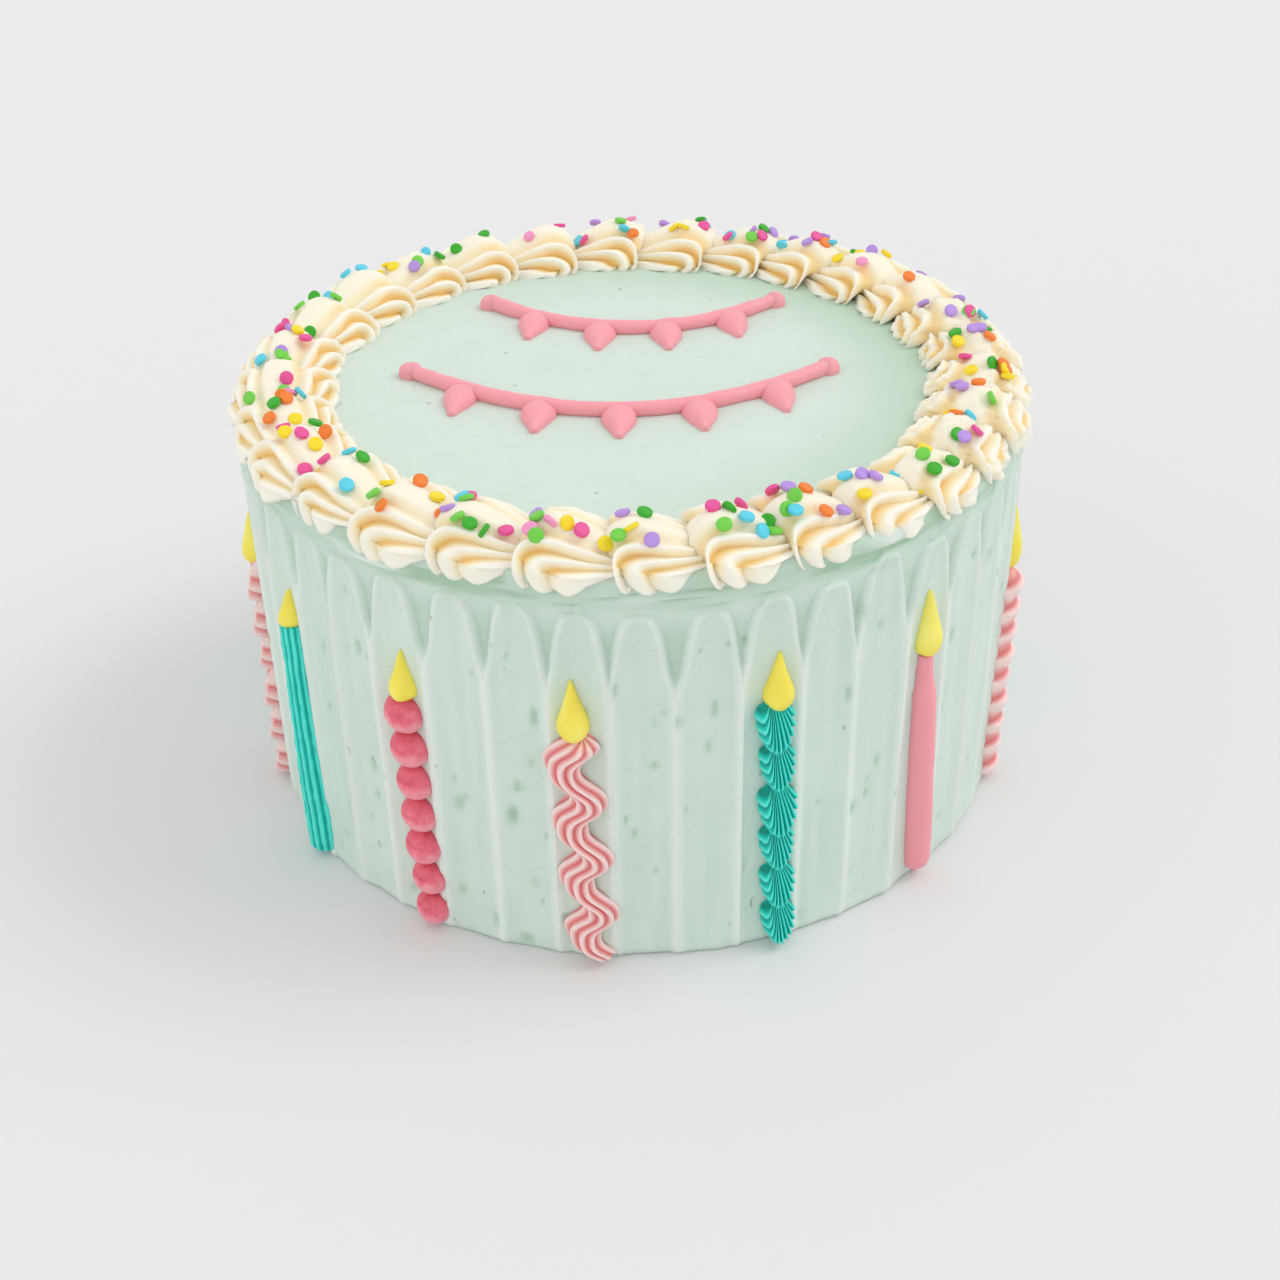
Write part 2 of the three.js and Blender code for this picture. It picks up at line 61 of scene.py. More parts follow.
STROKE_COUNT = 43
STROKE_LIP_WIDTH = 1.0
STROKE_TOP = 105.6
STROKE_SPREAD = 27.0
STROKE_ARCH = 0.3
STROKE_GAP_LEAST = 0.5
STROKE_RIDGE = 1.1

SHELL_COUNT = 29
SHELL_RING_RADIUS = 94.5
SHELL_HEAD = 9.0
SHELL_TAIL = 20.8
SHELL_HEIGHT = 9.9
SHELL_OUTER = 14.0
SHELL_INNER = 16.2
SHELL_HANG = 5.4
SHELL_FIRST_ANGLE = -1.3
SHELL_DRIFT = 4.6
SHELL_WIDEST_SIDE = 122.5
SHELL_GROWTH = 0.09

SPRINKLE_DIAMETER = 3.7
SPRINKLE_THICKNESS = 1.2

CANDLE_BOTTOM = 1.0
FLAME_HEIGHT = 4.2
PIPED_ROOT = 115.0

GARLAND_THICKNESS = 4.2


# ---- numbers
# Numbers that only have to be large and uneven
HASH_ITEM = 12.9898
HASH_SERIES = 78.233
HASH_SCALE = 43758.5453
HASH_AXES = np.array([127.1, 311.7, 74.7])
HASH_SEED = 53.3


def chance(i, series):
    """A repeatable number from 0 to 1 for the item i of a series."""
    return (np.sin(i * HASH_ITEM + series * HASH_SERIES) * HASH_SCALE) % 1.0


def spread(i, series, amount):
    """A repeatable number from -amount to amount."""
    return (2 * chance(i, series) - 1) * amount


def mix(a, b, share):
    return a + (b - a) * share


def smooth(edge0, edge1, x):
    """A share that grows smoothly from 0 where x is edge0 to 1 where it is edge1."""
    t = np.clip((x - edge0) / (edge1 - edge0), 0, 1)
    return t * t * (3 - 2 * t)


def noise(points, size, seed=0.0):
    """Smooth noise from -1 to 1 at points, with features of about this size, one number or one per axis."""
    scaled = points / np.asarray(size, float)
    cell = np.floor(scaled)
    part = scaled - cell
    part = part * part * (3 - 2 * part)
    total = 0.0
    for corner in itertools.product((0.0, 1.0), repeat=3):
        at = cell + corner
        value = np.sin(at @ HASH_AXES + seed * HASH_SEED) * HASH_SCALE % 1.0
        total = total + value * np.prod(np.where(np.array(corner) > 0, part, 1 - part), axis=-1)
    return 2 * total - 1


def stacked(x, y, z):
    """Points from their coordinates."""
    return np.stack(np.broadcast_arrays(x, y, z), axis=-1)


def polar(degrees, radius, z):
    """Points at angles from the front, distances from the cake's axis and heights."""
    turn = np.radians(degrees)
    return stacked(radius * np.sin(turn), -radius * np.cos(turn), z)


def arc_degrees(length, radius=CAKE_RADIUS):
    """The angle of an arc of this length round the cake."""
    return np.degrees(np.asarray(length) / radius)


# ---- meshes
def grid_faces(rows, columns):
    """Faces between rows of points, each of which is a closed loop."""
    row, column = np.meshgrid(np.arange(rows - 1), np.arange(columns), indexing="ij")
    a = row * columns + column
    b = row * columns + (column + 1) % columns
    return np.stack([a, b, b + columns, a + columns], axis=-1).reshape(-1, 4)


def fan_faces(ring, centre, flip):
    """Faces from a ring of points to its centre."""
    other = np.roll(ring, -1)
    first, second = (other, ring) if flip else (ring, other)
    return np.stack([first, second, np.full(len(ring), centre)], axis=-1)


def volume(points, faces):
    """Six times the volume that faces enclose, which is positive where they point out."""
    total = 0.0
    for part in faces:
        for k in range(1, part.shape[1] - 1):
            a, b, c = (points[part[:, i]] for i in (0, k, k + 1))
            total += float(np.sum(a * np.cross(b, c)))
    return total


def new_object(name, data):
    made = bpy.data.objects.new(name, data)
    bpy.context.scene.collection.objects.link(made)
    return made


class Piece:
    """Closed shapes gathered into one mesh, in millimetres, with a groove value at each point:
    0 on a crest and 1 at the bottom of a groove. It sets the icing's painted highlight and painted shade."""

    def __init__(self):
        self.points = []
        self.faces = []
        self.grooves = []
        self.count = 0

    def shape(self, points, faces, groove=0.0):
        middle = points.mean(axis=0)
        if volume(points - middle, faces) < 0:
            faces = [part[:, ::-1] for part in faces]
        self.points.append(points)
        self.faces.extend(part + self.count for part in faces)
        self.grooves.append(np.broadcast_to(groove, len(points)))
        self.count += len(points)

    def loft(self, rows, groove=0.0):
        """A shape through rows of points. Each row is a loop, and a fan closes each end."""
        count, columns = rows.shape[:2]
        groove = np.broadcast_to(groove, (count, columns))
        ends = np.array([rows[0].mean(axis=0), rows[-1].mean(axis=0)])
        first = np.arange(columns)
        last = first + (count - 1) * columns
        faces = [
            grid_faces(count, columns),
            fan_faces(first, count * columns, True),
            fan_faces(last, count * columns + 1, False),
        ]
        end_grooves = [groove[0].mean(), groove[-1].mean()]
        self.shape(
            np.concatenate([rows.reshape(-1, 3), ends]),
            faces,
            np.concatenate([groove.reshape(-1), end_grooves]),
        )

    def build(self, name, material, slot, *replaced):
        """Makes the mesh, which rides on the cake and stands for the CAD nodes that it replaces."""
        mesh = bpy.data.meshes.new(name)
        points = np.concatenate(self.points) * MM
        corners = np.concatenate([part.ravel() for part in self.faces])
        sizes = np.concatenate([np.full(len(part), part.shape[1]) for part in self.faces])
        starts = np.concatenate([[0], np.cumsum(sizes)[:-1]])
        mesh.vertices.add(len(points))
        mesh.vertices.foreach_set("co", points.astype(np.float32).ravel())
        mesh.loops.add(len(corners))
        mesh.loops.foreach_set("vertex_index", corners.astype(np.int32))
        mesh.polygons.add(len(sizes))
        mesh.polygons.foreach_set("loop_start", starts.astype(np.int32))
        mesh.update(calc_edges=True)
        mesh.validate()
        mesh.shade_smooth()
        attribute = mesh.attributes.new("groove", "FLOAT", "POINT")
        attribute.data.foreach_set("value", np.concatenate(self.grooves).astype(np.float32))
        mesh.materials.append(material)
        piece = new_object(name, mesh)
        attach(piece, BODY)
        if replaced:
            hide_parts(*replaced)
        return piece


# ---- materials
PLAIN_LEVEL = 0.35  # the groove value where icing has its plain colour
# Sizes in materials are in metres, and a texture's scale counts features in a metre
CLOUD_SCALE = 70.0
CLOUD_LIGHTENING = 1.06
GRAIN_SCALE = 1400.0
GRAIN_DEPTH = 0.00006
PIT_SCALE = 170.0
PIT_STRETCH = 0.45  # pits are taller than they are wide
PATCH_SCALE = 55.0
PIT_REACH = 0.16  # the largest radius of a pit, as a share of its cell


def linear(rgb):
    """A shader colour from an sRGB colour of 0 to 255."""
    values = np.array(rgb) / 255
    light = np.where(values <= 0.04045, values / 12.92, ((values + 0.055) / 1.055) ** 2.4)
    return (*light, 1.0)


def toned(colour, factor):
    """A shader colour that is lighter or darker by a factor."""
    return tuple(min(1.0, factor * part) for part in colour[:3]) + (1.0,)


def new_node(tree, kind, **settings):
    """A node with its settings and inputs. An input is linked where its value is a socket."""
    made = tree.nodes.new(kind)
    for key, value in settings.items():
        label = key.replace("_", " ")
        if hasattr(made, key):
            setattr(made, key, value)
        elif isinstance(value, bpy.types.NodeSocket):
            tree.links.new(value, made.inputs[label])
        else:
            made.inputs[label].default_value = value
    return made


def blended(tree, share, first, second):
    """The colour between two, as a socket."""
    made = tree.nodes.new("ShaderNodeMix")
    made.data_type = "RGBA"
    for index, value in ((0, share), (6, first), (7, second)):
        if isinstance(value, bpy.types.NodeSocket):
            tree.links.new(value, made.inputs[index])
        else:
            made.inputs[index].default_value = value
    return made.outputs[2]


def new_material(name, **settings):
    """A material, its nodes and its shader, whose inputs are set to constants."""
    material = bpy.data.materials.new(name)
    material.use_nodes = True
    shader = material.node_tree.nodes["Principled BSDF"]
    for key, value in settings.items():
        shader.inputs[key.replace("_", " ")].default_value = value
    return material, material.node_tree, shader


def noise_texture(tree, place, scale, detail):
    return new_node(tree, "ShaderNodeTexNoise", Vector=place, Scale=scale, Detail=detail).outputs["Fac"]


def bumped(tree, height, depth, **below):
    bump = new_node(tree, "ShaderNodeBump", Height=height, Distance=depth, Strength=1.0, **below)
    return bump.outputs["Normal"]


def icing(name, crest, base, deep, roughness=0.5, translucency=0.2, pits=0.0):
    """Buttercream: a plain colour, a painted highlight on the crests and a darker painted shade in the
    grooves, faint lighter clouds, a fine grain and, on spread icing, small pits drawn upwards."""
    material, tree, shader = new_material(
        name,
        Roughness=roughness,
        IOR=1.45,
        Specular_IOR_Level=0.35,
        Subsurface_Weight=translucency,
        Subsurface_Radius=(1.0, 0.75, 0.55),
        Subsurface_Scale=0.003,
    )
    crest, base, deep = linear(crest), linear(base), linear(deep)
    place = new_node(tree, "ShaderNodeTexCoord").outputs["Object"]
    cloudy = remapped(tree, noise_texture(tree, place, CLOUD_SCALE, 3.0), 0.35, 0.7, 0.5)
    plain = blended(tree, cloudy, base, toned(base, CLOUD_LIGHTENING))
    groove = new_node(tree, "ShaderNodeAttribute", attribute_name="groove").outputs["Fac"]
    # painted highlight towards the crests and painted shade towards the bottoms of the grooves
    upper = blended(tree, remapped(tree, groove, 0.0, PLAIN_LEVEL), crest, plain)
    colour = blended(tree, remapped(tree, groove, PLAIN_LEVEL, 1.0), upper, deep)
    tree.links.new(colour, shader.inputs["Base Color"])
    normal = bumped(tree, noise_texture(tree, place, GRAIN_SCALE, 4.0), GRAIN_DEPTH)
    if pits:
        normal = bumped(tree, pit_texture(tree, place), pits, Normal=normal)
    tree.links.new(normal, shader.inputs["Normal"])
    return material


def remapped(tree, value, low, high, most=1.0):
    """A share of 0 at a low value and of most at a high one, as a socket."""
    ends = {"From_Min": low, "From_Max": high, "To_Min": 0.0, "To_Max": most}
    return new_node(tree, "ShaderNodeMapRange", Value=value, **ends).outputs["Result"]


def pit_texture(tree, place):
    """Small tall pits: 0 in a pit and 1 round it, as a socket."""
    stretch = (1.0, 1.0, PIT_STRETCH)
    stretched = new_node(tree, "ShaderNodeMapping", Vector=place, Scale=stretch).outputs["Vector"]
    cells = new_node(tree, "ShaderNodeTexVoronoi", Vector=stretched, Scale=PIT_SCALE, Randomness=1.0)
    reach = remapped(tree, noise_texture(tree, place, PATCH_SCALE, 1.0), 0.45, 0.75, PIT_REACH)
    ratio = new_node(tree, "ShaderNodeMath", operation="DIVIDE")
    tree.links.new(cells.outputs["Distance"], ratio.inputs[0])
    tree.links.new(reach, ratio.inputs[1])
    return remapped(tree, ratio.outputs["Value"], 0.4, 1.0)


# Each icing: its painted highlight colour for crests, its plain colour, and its painted shade colour for
# grooves
MINT = icing("mint_icing", (229, 240, 232), (212, 228, 217), (172, 203, 178), pits=0.0006)
PIPED = {
    "cream": icing("cream_icing", (255, 249, 234), (252, 237, 205), (247, 205, 118), translucency=0.35),
    "coral": icing("coral_icing", (248, 160, 172), (237, 115, 132), (210, 70, 90), roughness=0.34),
    "blush": icing("blush_icing", (251, 222, 220), (244, 188, 186), (230, 128, 126), roughness=0.45),
    "teal": icing("teal_icing", (92, 236, 222), (12, 202, 187), (0, 146, 130), roughness=0.38),
    "yellow": icing("yellow_icing", (255, 245, 136), (254, 236, 96), (243, 213, 66), roughness=0.4),
    "rose": icing("rose_icing", (251, 166, 176), (247, 150, 162), (232, 112, 128), roughness=0.42),
}


# ---- the cake's mint icing
STROKE_INSIDE = 15  # columns of points across a stroke
STROKE_BETWEEN = 5  # columns between two strokes
STROKE_HALF_LEAST = 0.8
STROKE_EDGEWARDS = 0.8  # draws a stroke's columns towards its edges, where 1 would space them evenly
STROKES_MEET = (15, 24)  # how far below the lower of two tops they begin to meet, and have met
HOLLOW = 1.0
LIP = 0.75
LIP_AT_TOP = 0.5  # how much further the lip stands out where the knife lifted off
LIP_FADE = 2.4
BEAD = 0.3  # the thin bead on a stroke's edge
BEAD_INWARDS = 0.8
BEAD_OUTWARDS = 0.5
WEB_DEPTH = 1.0
# the painted shade of a sunken web between strokes
WEB_PAINTED_SHADE = 0.58

strokes = np.arange(STROKE_COUNT)
stroke_pitch = 360 / STROKE_COUNT
stroke_angle = 1 + stroke_pitch * strokes + spread(strokes, 1, 0.7)
stroke_top = STROKE_TOP + spread(strokes, 2, 2.4)
stroke_tilt = 0.1 + spread(strokes, 7, 0.4)
full_half_width = (math.radians(stroke_pitch) * CAKE_RADIUS - STROKE_LIP_WIDTH) / 2


def stroke_half_width(below):
    narrowing = np.minimum(1, (below / STROKE_SPREAD) ** STROKE_ARCH)
    return np.maximum(STROKE_HALF_LEAST, full_half_width * narrowing)


def stroke_edges(z):
    """The strokes at heights z: how far below its top each one is, how far below the lower of two tops the
    web to its right is, how far it has met the next one, half its width, and the angles of its left edge, its
    right edge and the next one's left edge."""
    below = np.maximum(0, stroke_top - z)
    half = stroke_half_width(below)
    right = stroke_angle + arc_degrees(half)
    next_left = np.roll(stroke_angle - arc_degrees(half), -1, axis=1)
    next_left[:, -1] += 360
    crowding = np.maximum(0, arc_degrees(STROKE_GAP_LEAST) - (next_left - right)) / 2
    right = right - crowding
    next_left = next_left + crowding
    web_below = np.minimum(below, np.roll(below, -1, axis=1))
    meeting = smooth(*STROKES_MEET, web_below)
    middle = (right + next_left) / 2
    right = mix(right, middle - arc_degrees(STROKE_RIDGE / 2), meeting)
    next_left = mix(next_left, middle + arc_degrees(STROKE_RIDGE / 2), meeting)
    left = np.roll(next_left, 1, axis=1)
    left[:, 0] -= 360
    return below, web_below, meeting, half, left, right, next_left


def lip(below):
    """How far a stroke's edge stands out, which is most near its top."""
    return smooth(0, 0.8, below) * (LIP + LIP_AT_TOP * np.exp(-((below / LIP_FADE) ** 2)))


def inside_strokes(z, below, half, left, right):
    """Angles, offsets and groove levels across each stroke, which is hollow and leans a little."""
    u = np.linspace(-1, 1, STROKE_INSIDE)
    u = np.sign(u) * np.abs(u) ** STROKE_EDGEWARDS
    angles = mix(left[..., None], right[..., None], (u + 1) / 2)
    edge = (1 - np.abs(u)) * half[..., None]
    bead = np.exp(-((edge / BEAD_INWARDS) ** 2)) * smooth(0, 1.5, below)[..., None]
    hollow = HOLLOW * (smooth(0, 13, below) * smooth(-3, 12, z))[..., None] * (1 - u**2)
    tilt = (stroke_tilt * smooth(4, 20, below))[..., None] * u
    offsets = lip(below)[..., None] + BEAD * bead - hollow + tilt
    # painted highlight along the bead on the stroke's edge
    return angles, offsets, PLAIN_LEVEL * (1 - bead)


def between_strokes(below, web_below, meeting, right, next_left):
    """Angles, offsets and groove levels across the web to the right of each stroke. It closes to a ridge."""
    gap = np.radians(next_left - right) * CAKE_RADIUS
    near = np.minimum(0.45, 0.22 * gap)
    far = np.minimum(1.2, 0.38 * gap)
    steps = np.stack([near, far, gap / 2, gap - far, gap - near], axis=-1)
    angles = right[..., None] + arc_degrees(steps)
    edge = np.minimum(steps, gap[..., None] - steps)
    web = (smooth(0.8, 3.5, gap) * smooth(-1, 9, web_below))[..., None] * smooth(0, 1.3, edge)
    bead = np.exp(-((edge / BEAD_OUTWARDS) ** 2)) * smooth(0, 1.5, below)[..., None]
    bead = mix(bead, 1, meeting[..., None])
    offsets = bead * (lip(below)[..., None] + BEAD) - WEB_DEPTH * web
    # painted highlight on the beads and painted shade down in the web
    return angles, offsets, mix(PLAIN_LEVEL * (1 - bead), WEB_PAINTED_SHADE, web * (1 - bead))


def side_rows(heights):
    """Angles, offsets from the cake's radius and groove levels of every column of points at each height."""
    z = heights[:, None]
    below, web_below, meeting, half, left, right, next_left = stroke_edges(z)
    inside = inside_strokes(z, below, half, left, right)
    between = between_strokes(below, web_below, meeting, right, next_left)
    return tuple(np.concatenate(pair, axis=-1).reshape(len(heights), -1) for pair in zip(inside, between))


# Larger pits that the palette knife left: [angle, height, half width, half height, depth]
LARGE_PITS = [
    [-17, 43, 1.5, 3.0, 1.0],
    [-25, 43, 1.2, 2.6, 0.7],
    [-16, 52, 1.3, 2.0, 0.7],
    [-16, 3, 2.0, 2.2, 0.8],
    [31, 35, 1.4, 2.2, 0.7],
]
SMALL_PIT_COUNT = 240


def small_pit(i):
    half_width = 0.5 + 0.7 * chance(i, 21) ** 2
    angle, height = 360 * chance(i, 22), 4 + 92 * chance(i, 23)
    half_height = half_width * (1.2 + 1.6 * chance(i, 24))
    return [angle, height, half_width, half_height, 0.35 + 0.4 * chance(i, 25)]


def pit_depths(angles, heights):
    """How far the icing is dented at each angle and height."""
    depth = np.zeros(angles.shape)
    pits = LARGE_PITS + [small_pit(i) for i in range(SMALL_PIT_COUNT)]
    for angle, height, half_width, half_height, deep in pits:
        across = np.radians((angles - angle + 180) % 360 - 180) * CAKE_RADIUS / half_width
        up = (heights - height) / half_height
        depth += deep * np.exp(-((across**2 + up**2) ** 1.5))
    return depth


# Rows of points, closer together at the foot and from where the strokes' tops arch
SIDE_HEIGHTS = np.concatenate([[0, 0.7, 1.6], np.arange(3, 96, 1.15), np.arange(96.3, 110.8, 0.5)])
RIM_ROWS = 8
TOP_RADII = np.concatenate([np.arange(100, 60, -2.0), np.arange(60, 2, -1.7)])
TOP_HALVING = 0.9  # a ring over the top is halved where its points are closer than this share of the side's

# Sizes of the side's noise across, deep and up
LUMP = [22, 22, 40]
DRAG = [2.2, 2.2, 30]
WAVER = [9, 9, 1.8]
SKIRT = [7, 7, 5]
SMEAR = [12, 12, 1.6]
SMEAR_PATCH = [30, 30, 9]
SCRATCH = [5, 5, 1.1]
SCRATCH_RARITY = 0.3


def side_surface():
    """Angles, offsets and groove levels of the side: strokes, the knife's lines and lumps, a foot that is
    drawn in, pits, and smears and scratches above the strokes. The groove levels paint shade into dents and a
    band under the border, and a highlight where the icing stands out."""
    angles, offsets, groove = side_rows(SIDE_HEIGHTS)
    level = np.broadcast_to(SIDE_HEIGHTS[:, None], angles.shape)
    where = polar(angles, CAKE_RADIUS, level)
    foot = FOOT_INSET * (1 - smooth(0, 2, level))
    drag = noise(where, DRAG, 2)
    uneven = 0.35 * noise(where, LUMP, 1) + 0.16 * drag + 0.06 * noise(where, WAVER, 4)
    skirt = 0.6 * noise(where, SKIRT, 3) * (1 - smooth(2, 9, level))
    pits = pit_depths(angles, level)
    above = smooth(-0.5, 1.5, level - np.repeat(stroke_top, STROKE_INSIDE + STROKE_BETWEEN))
    smears = noise(where, SMEAR, 12) * noise(where, SMEAR_PATCH, 13) * above
    scratches = np.maximum(0, noise(where, SCRATCH, 14) - SCRATCH_RARITY) * above
    offsets = offsets + uneven + skirt + 0.6 * smears - 0.8 * scratches - foot - pits
    # painted shade: a darker band under the border, darker pits and scratches, lighter raised smears and
    # knife lines
    shaded = 0.3 * smooth(101, 111, level)
    groove = np.clip(groove - 0.08 * drag + 0.7 * pits + shaded - smears + scratches, 0, 1)
    return angles, offsets, groove


def rim_rows(angles, offsets, groove):
    """Points and groove levels of the rounded rim, over the top row of the side."""
    bend = np.radians(np.linspace(8, 90, RIM_ROWS))[:, None]
    radius = CAKE_RADIUS - RIM_ROUNDING * (1 - np.cos(bend)) + offsets * np.cos(bend)
    level = CAKE_HEIGHT - RIM_ROUNDING * (1 - np.sin(bend))
    # the side's painted shade fades to the plain colour over the rim
    fading = smooth(CAKE_RADIUS - RIM_ROUNDING, CAKE_RADIUS, radius)
    return polar(angles, radius, level), mix(PLAIN_LEVEL, groove, fading)


def cake_icing():
    angles, offsets, groove = side_surface()
    side = polar(angles, CAKE_RADIUS + offsets, SIDE_HEIGHTS[:, None])
    rim, rim_groove = rim_rows(angles[-1], offsets[-1], groove[-1])
    rows = np.concatenate([side, rim])
    row_count, columns = rows.shape[:2]
    points = [rows.reshape(-1, 3)]
    faces = [grid_faces(row_count, columns)]
    grooves = [groove.reshape(-1), rim_groove.reshape(-1)]
    ring = np.arange(columns) + (row_count - 1) * columns
    ring_angles = angles[-1]
    count = row_count * columns
    for radius in TOP_RADII:
        sparse = radius < TOP_HALVING * CAKE_RADIUS * len(ring) / columns
        if sparse and len(ring) % 2 == 0:
            ring_angles = ring_angles[::2]
        points.append(top_points(ring_angles, radius))
        # painted shadow of the border over the outer top
        grooves.append(PLAIN_LEVEL + border_shadow_on_top(ring_angles) * smooth(52, 80, radius))
        fresh = np.arange(len(ring_angles)) + count
        faces.extend(band_faces(ring, fresh))
        count += len(fresh)
        ring = fresh
    points.extend([top_points(np.array([0.0]), 0.0), np.zeros((1, 3))])
    faces.extend([fan_faces(ring, count, False), fan_faces(np.arange(columns), count + 1, True)])
    grooves.append([PLAIN_LEVEL, PLAIN_LEVEL])
    piece = Piece()
    piece.shape(np.concatenate(points), faces, np.concatenate(grooves))
    return piece.build("cake_icing", MINT, "mint_icing", "cake_body")


def top_points(angles, radius):
    """A ring of points on the top, where the spatula left faint broad strokes."""
    flat = polar(angles, radius, 0.0)
    sweeps = 0.14 * noise(flat, [38, 9, 1], 5) + 0.07 * noise(flat, [4, 16, 1], 6)
    fade = smooth(100, 92, radius)
    flat[..., 2] = CAKE_HEIGHT + fade * sweeps
    return flat


def border_shadow_on_top(angles):
    """The painted shadow of the border on the top: how much darker the green is painted along the border,
    most of all at the back right.
    """
    return np.maximum(0, 0.15 + 0.25 * np.cos(np.radians(angles - 112)))


def band_faces(outer, inner):
    """Faces between two rings, where the inner one has as many points or half as many."""
    next_outer = np.roll(outer, -1)
    next_inner = np.roll(inner, -1)
    if len(outer) == len(inner):
        return [np.stack([outer, next_outer, next_inner, inner], axis=-1)]
    first, second = outer[::2], outer[1::2]
    third = np.roll(first, -1)
    return [
        np.stack([first, second, inner], axis=-1),
        np.stack([second, next_inner, inner], axis=-1),
        np.stack([second, third, next_inner], axis=-1),
    ]


# ---- the border of piped shells
# A shell without its ribs. Each pair is for its inner and its outer side.
SHELL_SQUARENESS = (0.75, 0.6)  # how squarely it bends over the head at the side, where 1 is round
SHELL_DOME = (0.85, 1.35)  # how fast its height falls off sideways
SHELL_HEAD_LOSS = 0.45
SHELL_TAIL_LOSS = 0.25
SHELL_TAIL_FALL = 1.35
SHELL_SWEEP = 13.0  # how far its sides are swept back
SHELL_SWEEP_POWER = 3.3
SHELL_LIFT = 0.36  # how high the front of the head is, as a share of its full height
SHELL_INNER_HANG = 2.0
SHELL_WIDENING = 0.9
SHELL_NARROWING = 0.48
SHELL_LANDING = 0.85
SHELL_UNDERCUT = 0.6
LAST_RIB = 0.88  # where the outermost rib begins
LAST_RIB_WIDTH = 0.115
FOOT_REACH = (0.81, 0.95)  # how far out the foot lands, at the outermost rib and at the others
FOOT_HANG = (0.1, 1)  # shares of SHELL_HANG, again at the outermost rib and at the others
NUDGE_ACROSS = 0.004
NUDGE_TURN = 0.6

RIB_EDGES = (0.33, 0.6, 0.83, 0.995)
RIB_DEPTH = 3.0
RIB_STEPS = 9
RIB_LEAN = 0.25
RIB_ROUNDNESS = 0.75
LOBE_ROUNDNESS = 0.85
DOME_STEPS = 15
DOME_FOOT = 0.4
TURN_STEPS = 56
SHELL_TURNS = np.concatenate([np.linspace(-62, 185, TURN_STEPS), np.linspace(200, 280, 4)])


def shell_at(i):
    """A shell of the border. They are piped a little further apart, and larger, round the back."""
    even = 360 / SHELL_COUNT * i
    drift = SHELL_DRIFT * math.cos(math.radians(even + 180 - SHELL_WIDEST_SIDE))
    return {
        "angle": SHELL_FIRST_ANGLE + even + drift + spread(i, 3, 0.5),
        "size": 1 - SHELL_GROWTH * math.cos(math.radians(even)) + spread(i, 4, 0.05),
        "yaw": math.radians(spread(i, 5, 6)),
        "shift": spread(i, 6, 0.8),
    }


SHELLS = [shell_at(i) for i in range(SHELL_COUNT)]


def shell_height(size, across, c, s, squareness, last):
    """How high a shell is over the top of the cake, at the cosine c and the sine s of a turn round it. last
    is 1 over most of the shell and falls to 0 at its edge."""
    rise = size * SHELL_HEIGHT * np.maximum(0, 1 - across**2) ** np.where(across < 0, *SHELL_DOME)
    lift = np.where(c < 0, 0, SHELL_LIFT * rise)
    head = lift + (rise - lift) * np.abs(s) ** squareness
    hang = np.where(across < 0, SHELL_INNER_HANG, SHELL_HANG * mix(*FOOT_HANG, last))
    foot = lift + (lift + hang) * s
    tail = np.where(s < 0, hang * s, rise * (1 - np.abs(c) ** SHELL_TAIL_FALL))
    return np.where(c < 0, tail, np.where(s < 0, foot, head))


def shell_surface(shell, across, turn):
    """Points of a shell without its ribs: across from -1, its inner side, to 1, its outer side, and turn
    round it lengthwise, 0 at the front of the head, 90 over the top and 180 at the tip of the tail."""
    size = shell["size"]
    side = np.abs(across)
    c = np.cos(np.radians(turn))
    s = np.sin(np.radians(turn))
    squareness = mix(1.0, np.where(across < 0, *SHELL_SQUARENESS), smooth(0.25, 0.5, side))
    nose = SHELL_HEAD * np.sqrt(1 - SHELL_HEAD_LOSS * side**2.6) * np.abs(c) ** squareness
    tail = SHELL_TAIL * (1 - SHELL_TAIL_LOSS * side) * np.abs(c)
    along = size * np.where(c < 0, tail, -nose) + SHELL_SWEEP * side**SHELL_SWEEP_POWER
    last = np.sqrt(1 - np.clip((side - LAST_RIB) / LAST_RIB_WIDTH, 0, 1) ** 2)
    reach = size * np.where(across < 0, -SHELL_INNER, SHELL_OUTER)
    narrowing = 1 - SHELL_NARROWING * smooth(2, SHELL_TAIL + 1, along)
    landing = SHELL_LANDING * smooth(70, -20, turn) * smooth(0.25, 0.5, side)
    outwards = mix(reach * side**SHELL_WIDENING * narrowing, reach * mix(*FOOT_REACH, last), landing)
    outwards = outwards * (1 - SHELL_UNDERCUT * smooth(190, 250, turn))
    cos_yaw, sin_yaw = math.cos(shell["yaw"]), math.sin(shell["yaw"])
    forward = along * cos_yaw - outwards * sin_yaw
    radius = SHELL_RING_RADIUS + shell["shift"] + along * sin_yaw + outwards * cos_yaw
    angle = shell["angle"] + arc_degrees(forward, SHELL_RING_RADIUS)
    return polar(angle, radius, CAKE_HEIGHT + shell_height(size, across, c, s, squareness, last))


def shell_normals(shell, across, turn):
    """Unit vectors that point out of a shell without its ribs, from points a nudge away on either side."""
    outer = shell_surface(shell, across + NUDGE_ACROSS, turn)
    inner = shell_surface(shell, across - NUDGE_ACROSS, turn)
    ahead = shell_surface(shell, across, turn + NUDGE_TURN)
    behind = shell_surface(shell, across, turn - NUDGE_TURN)
    normal = np.cross(outer - inner, ahead - behind)
    return normal / np.maximum(1e-9, np.linalg.norm(normal, axis=-1, keepdims=True))


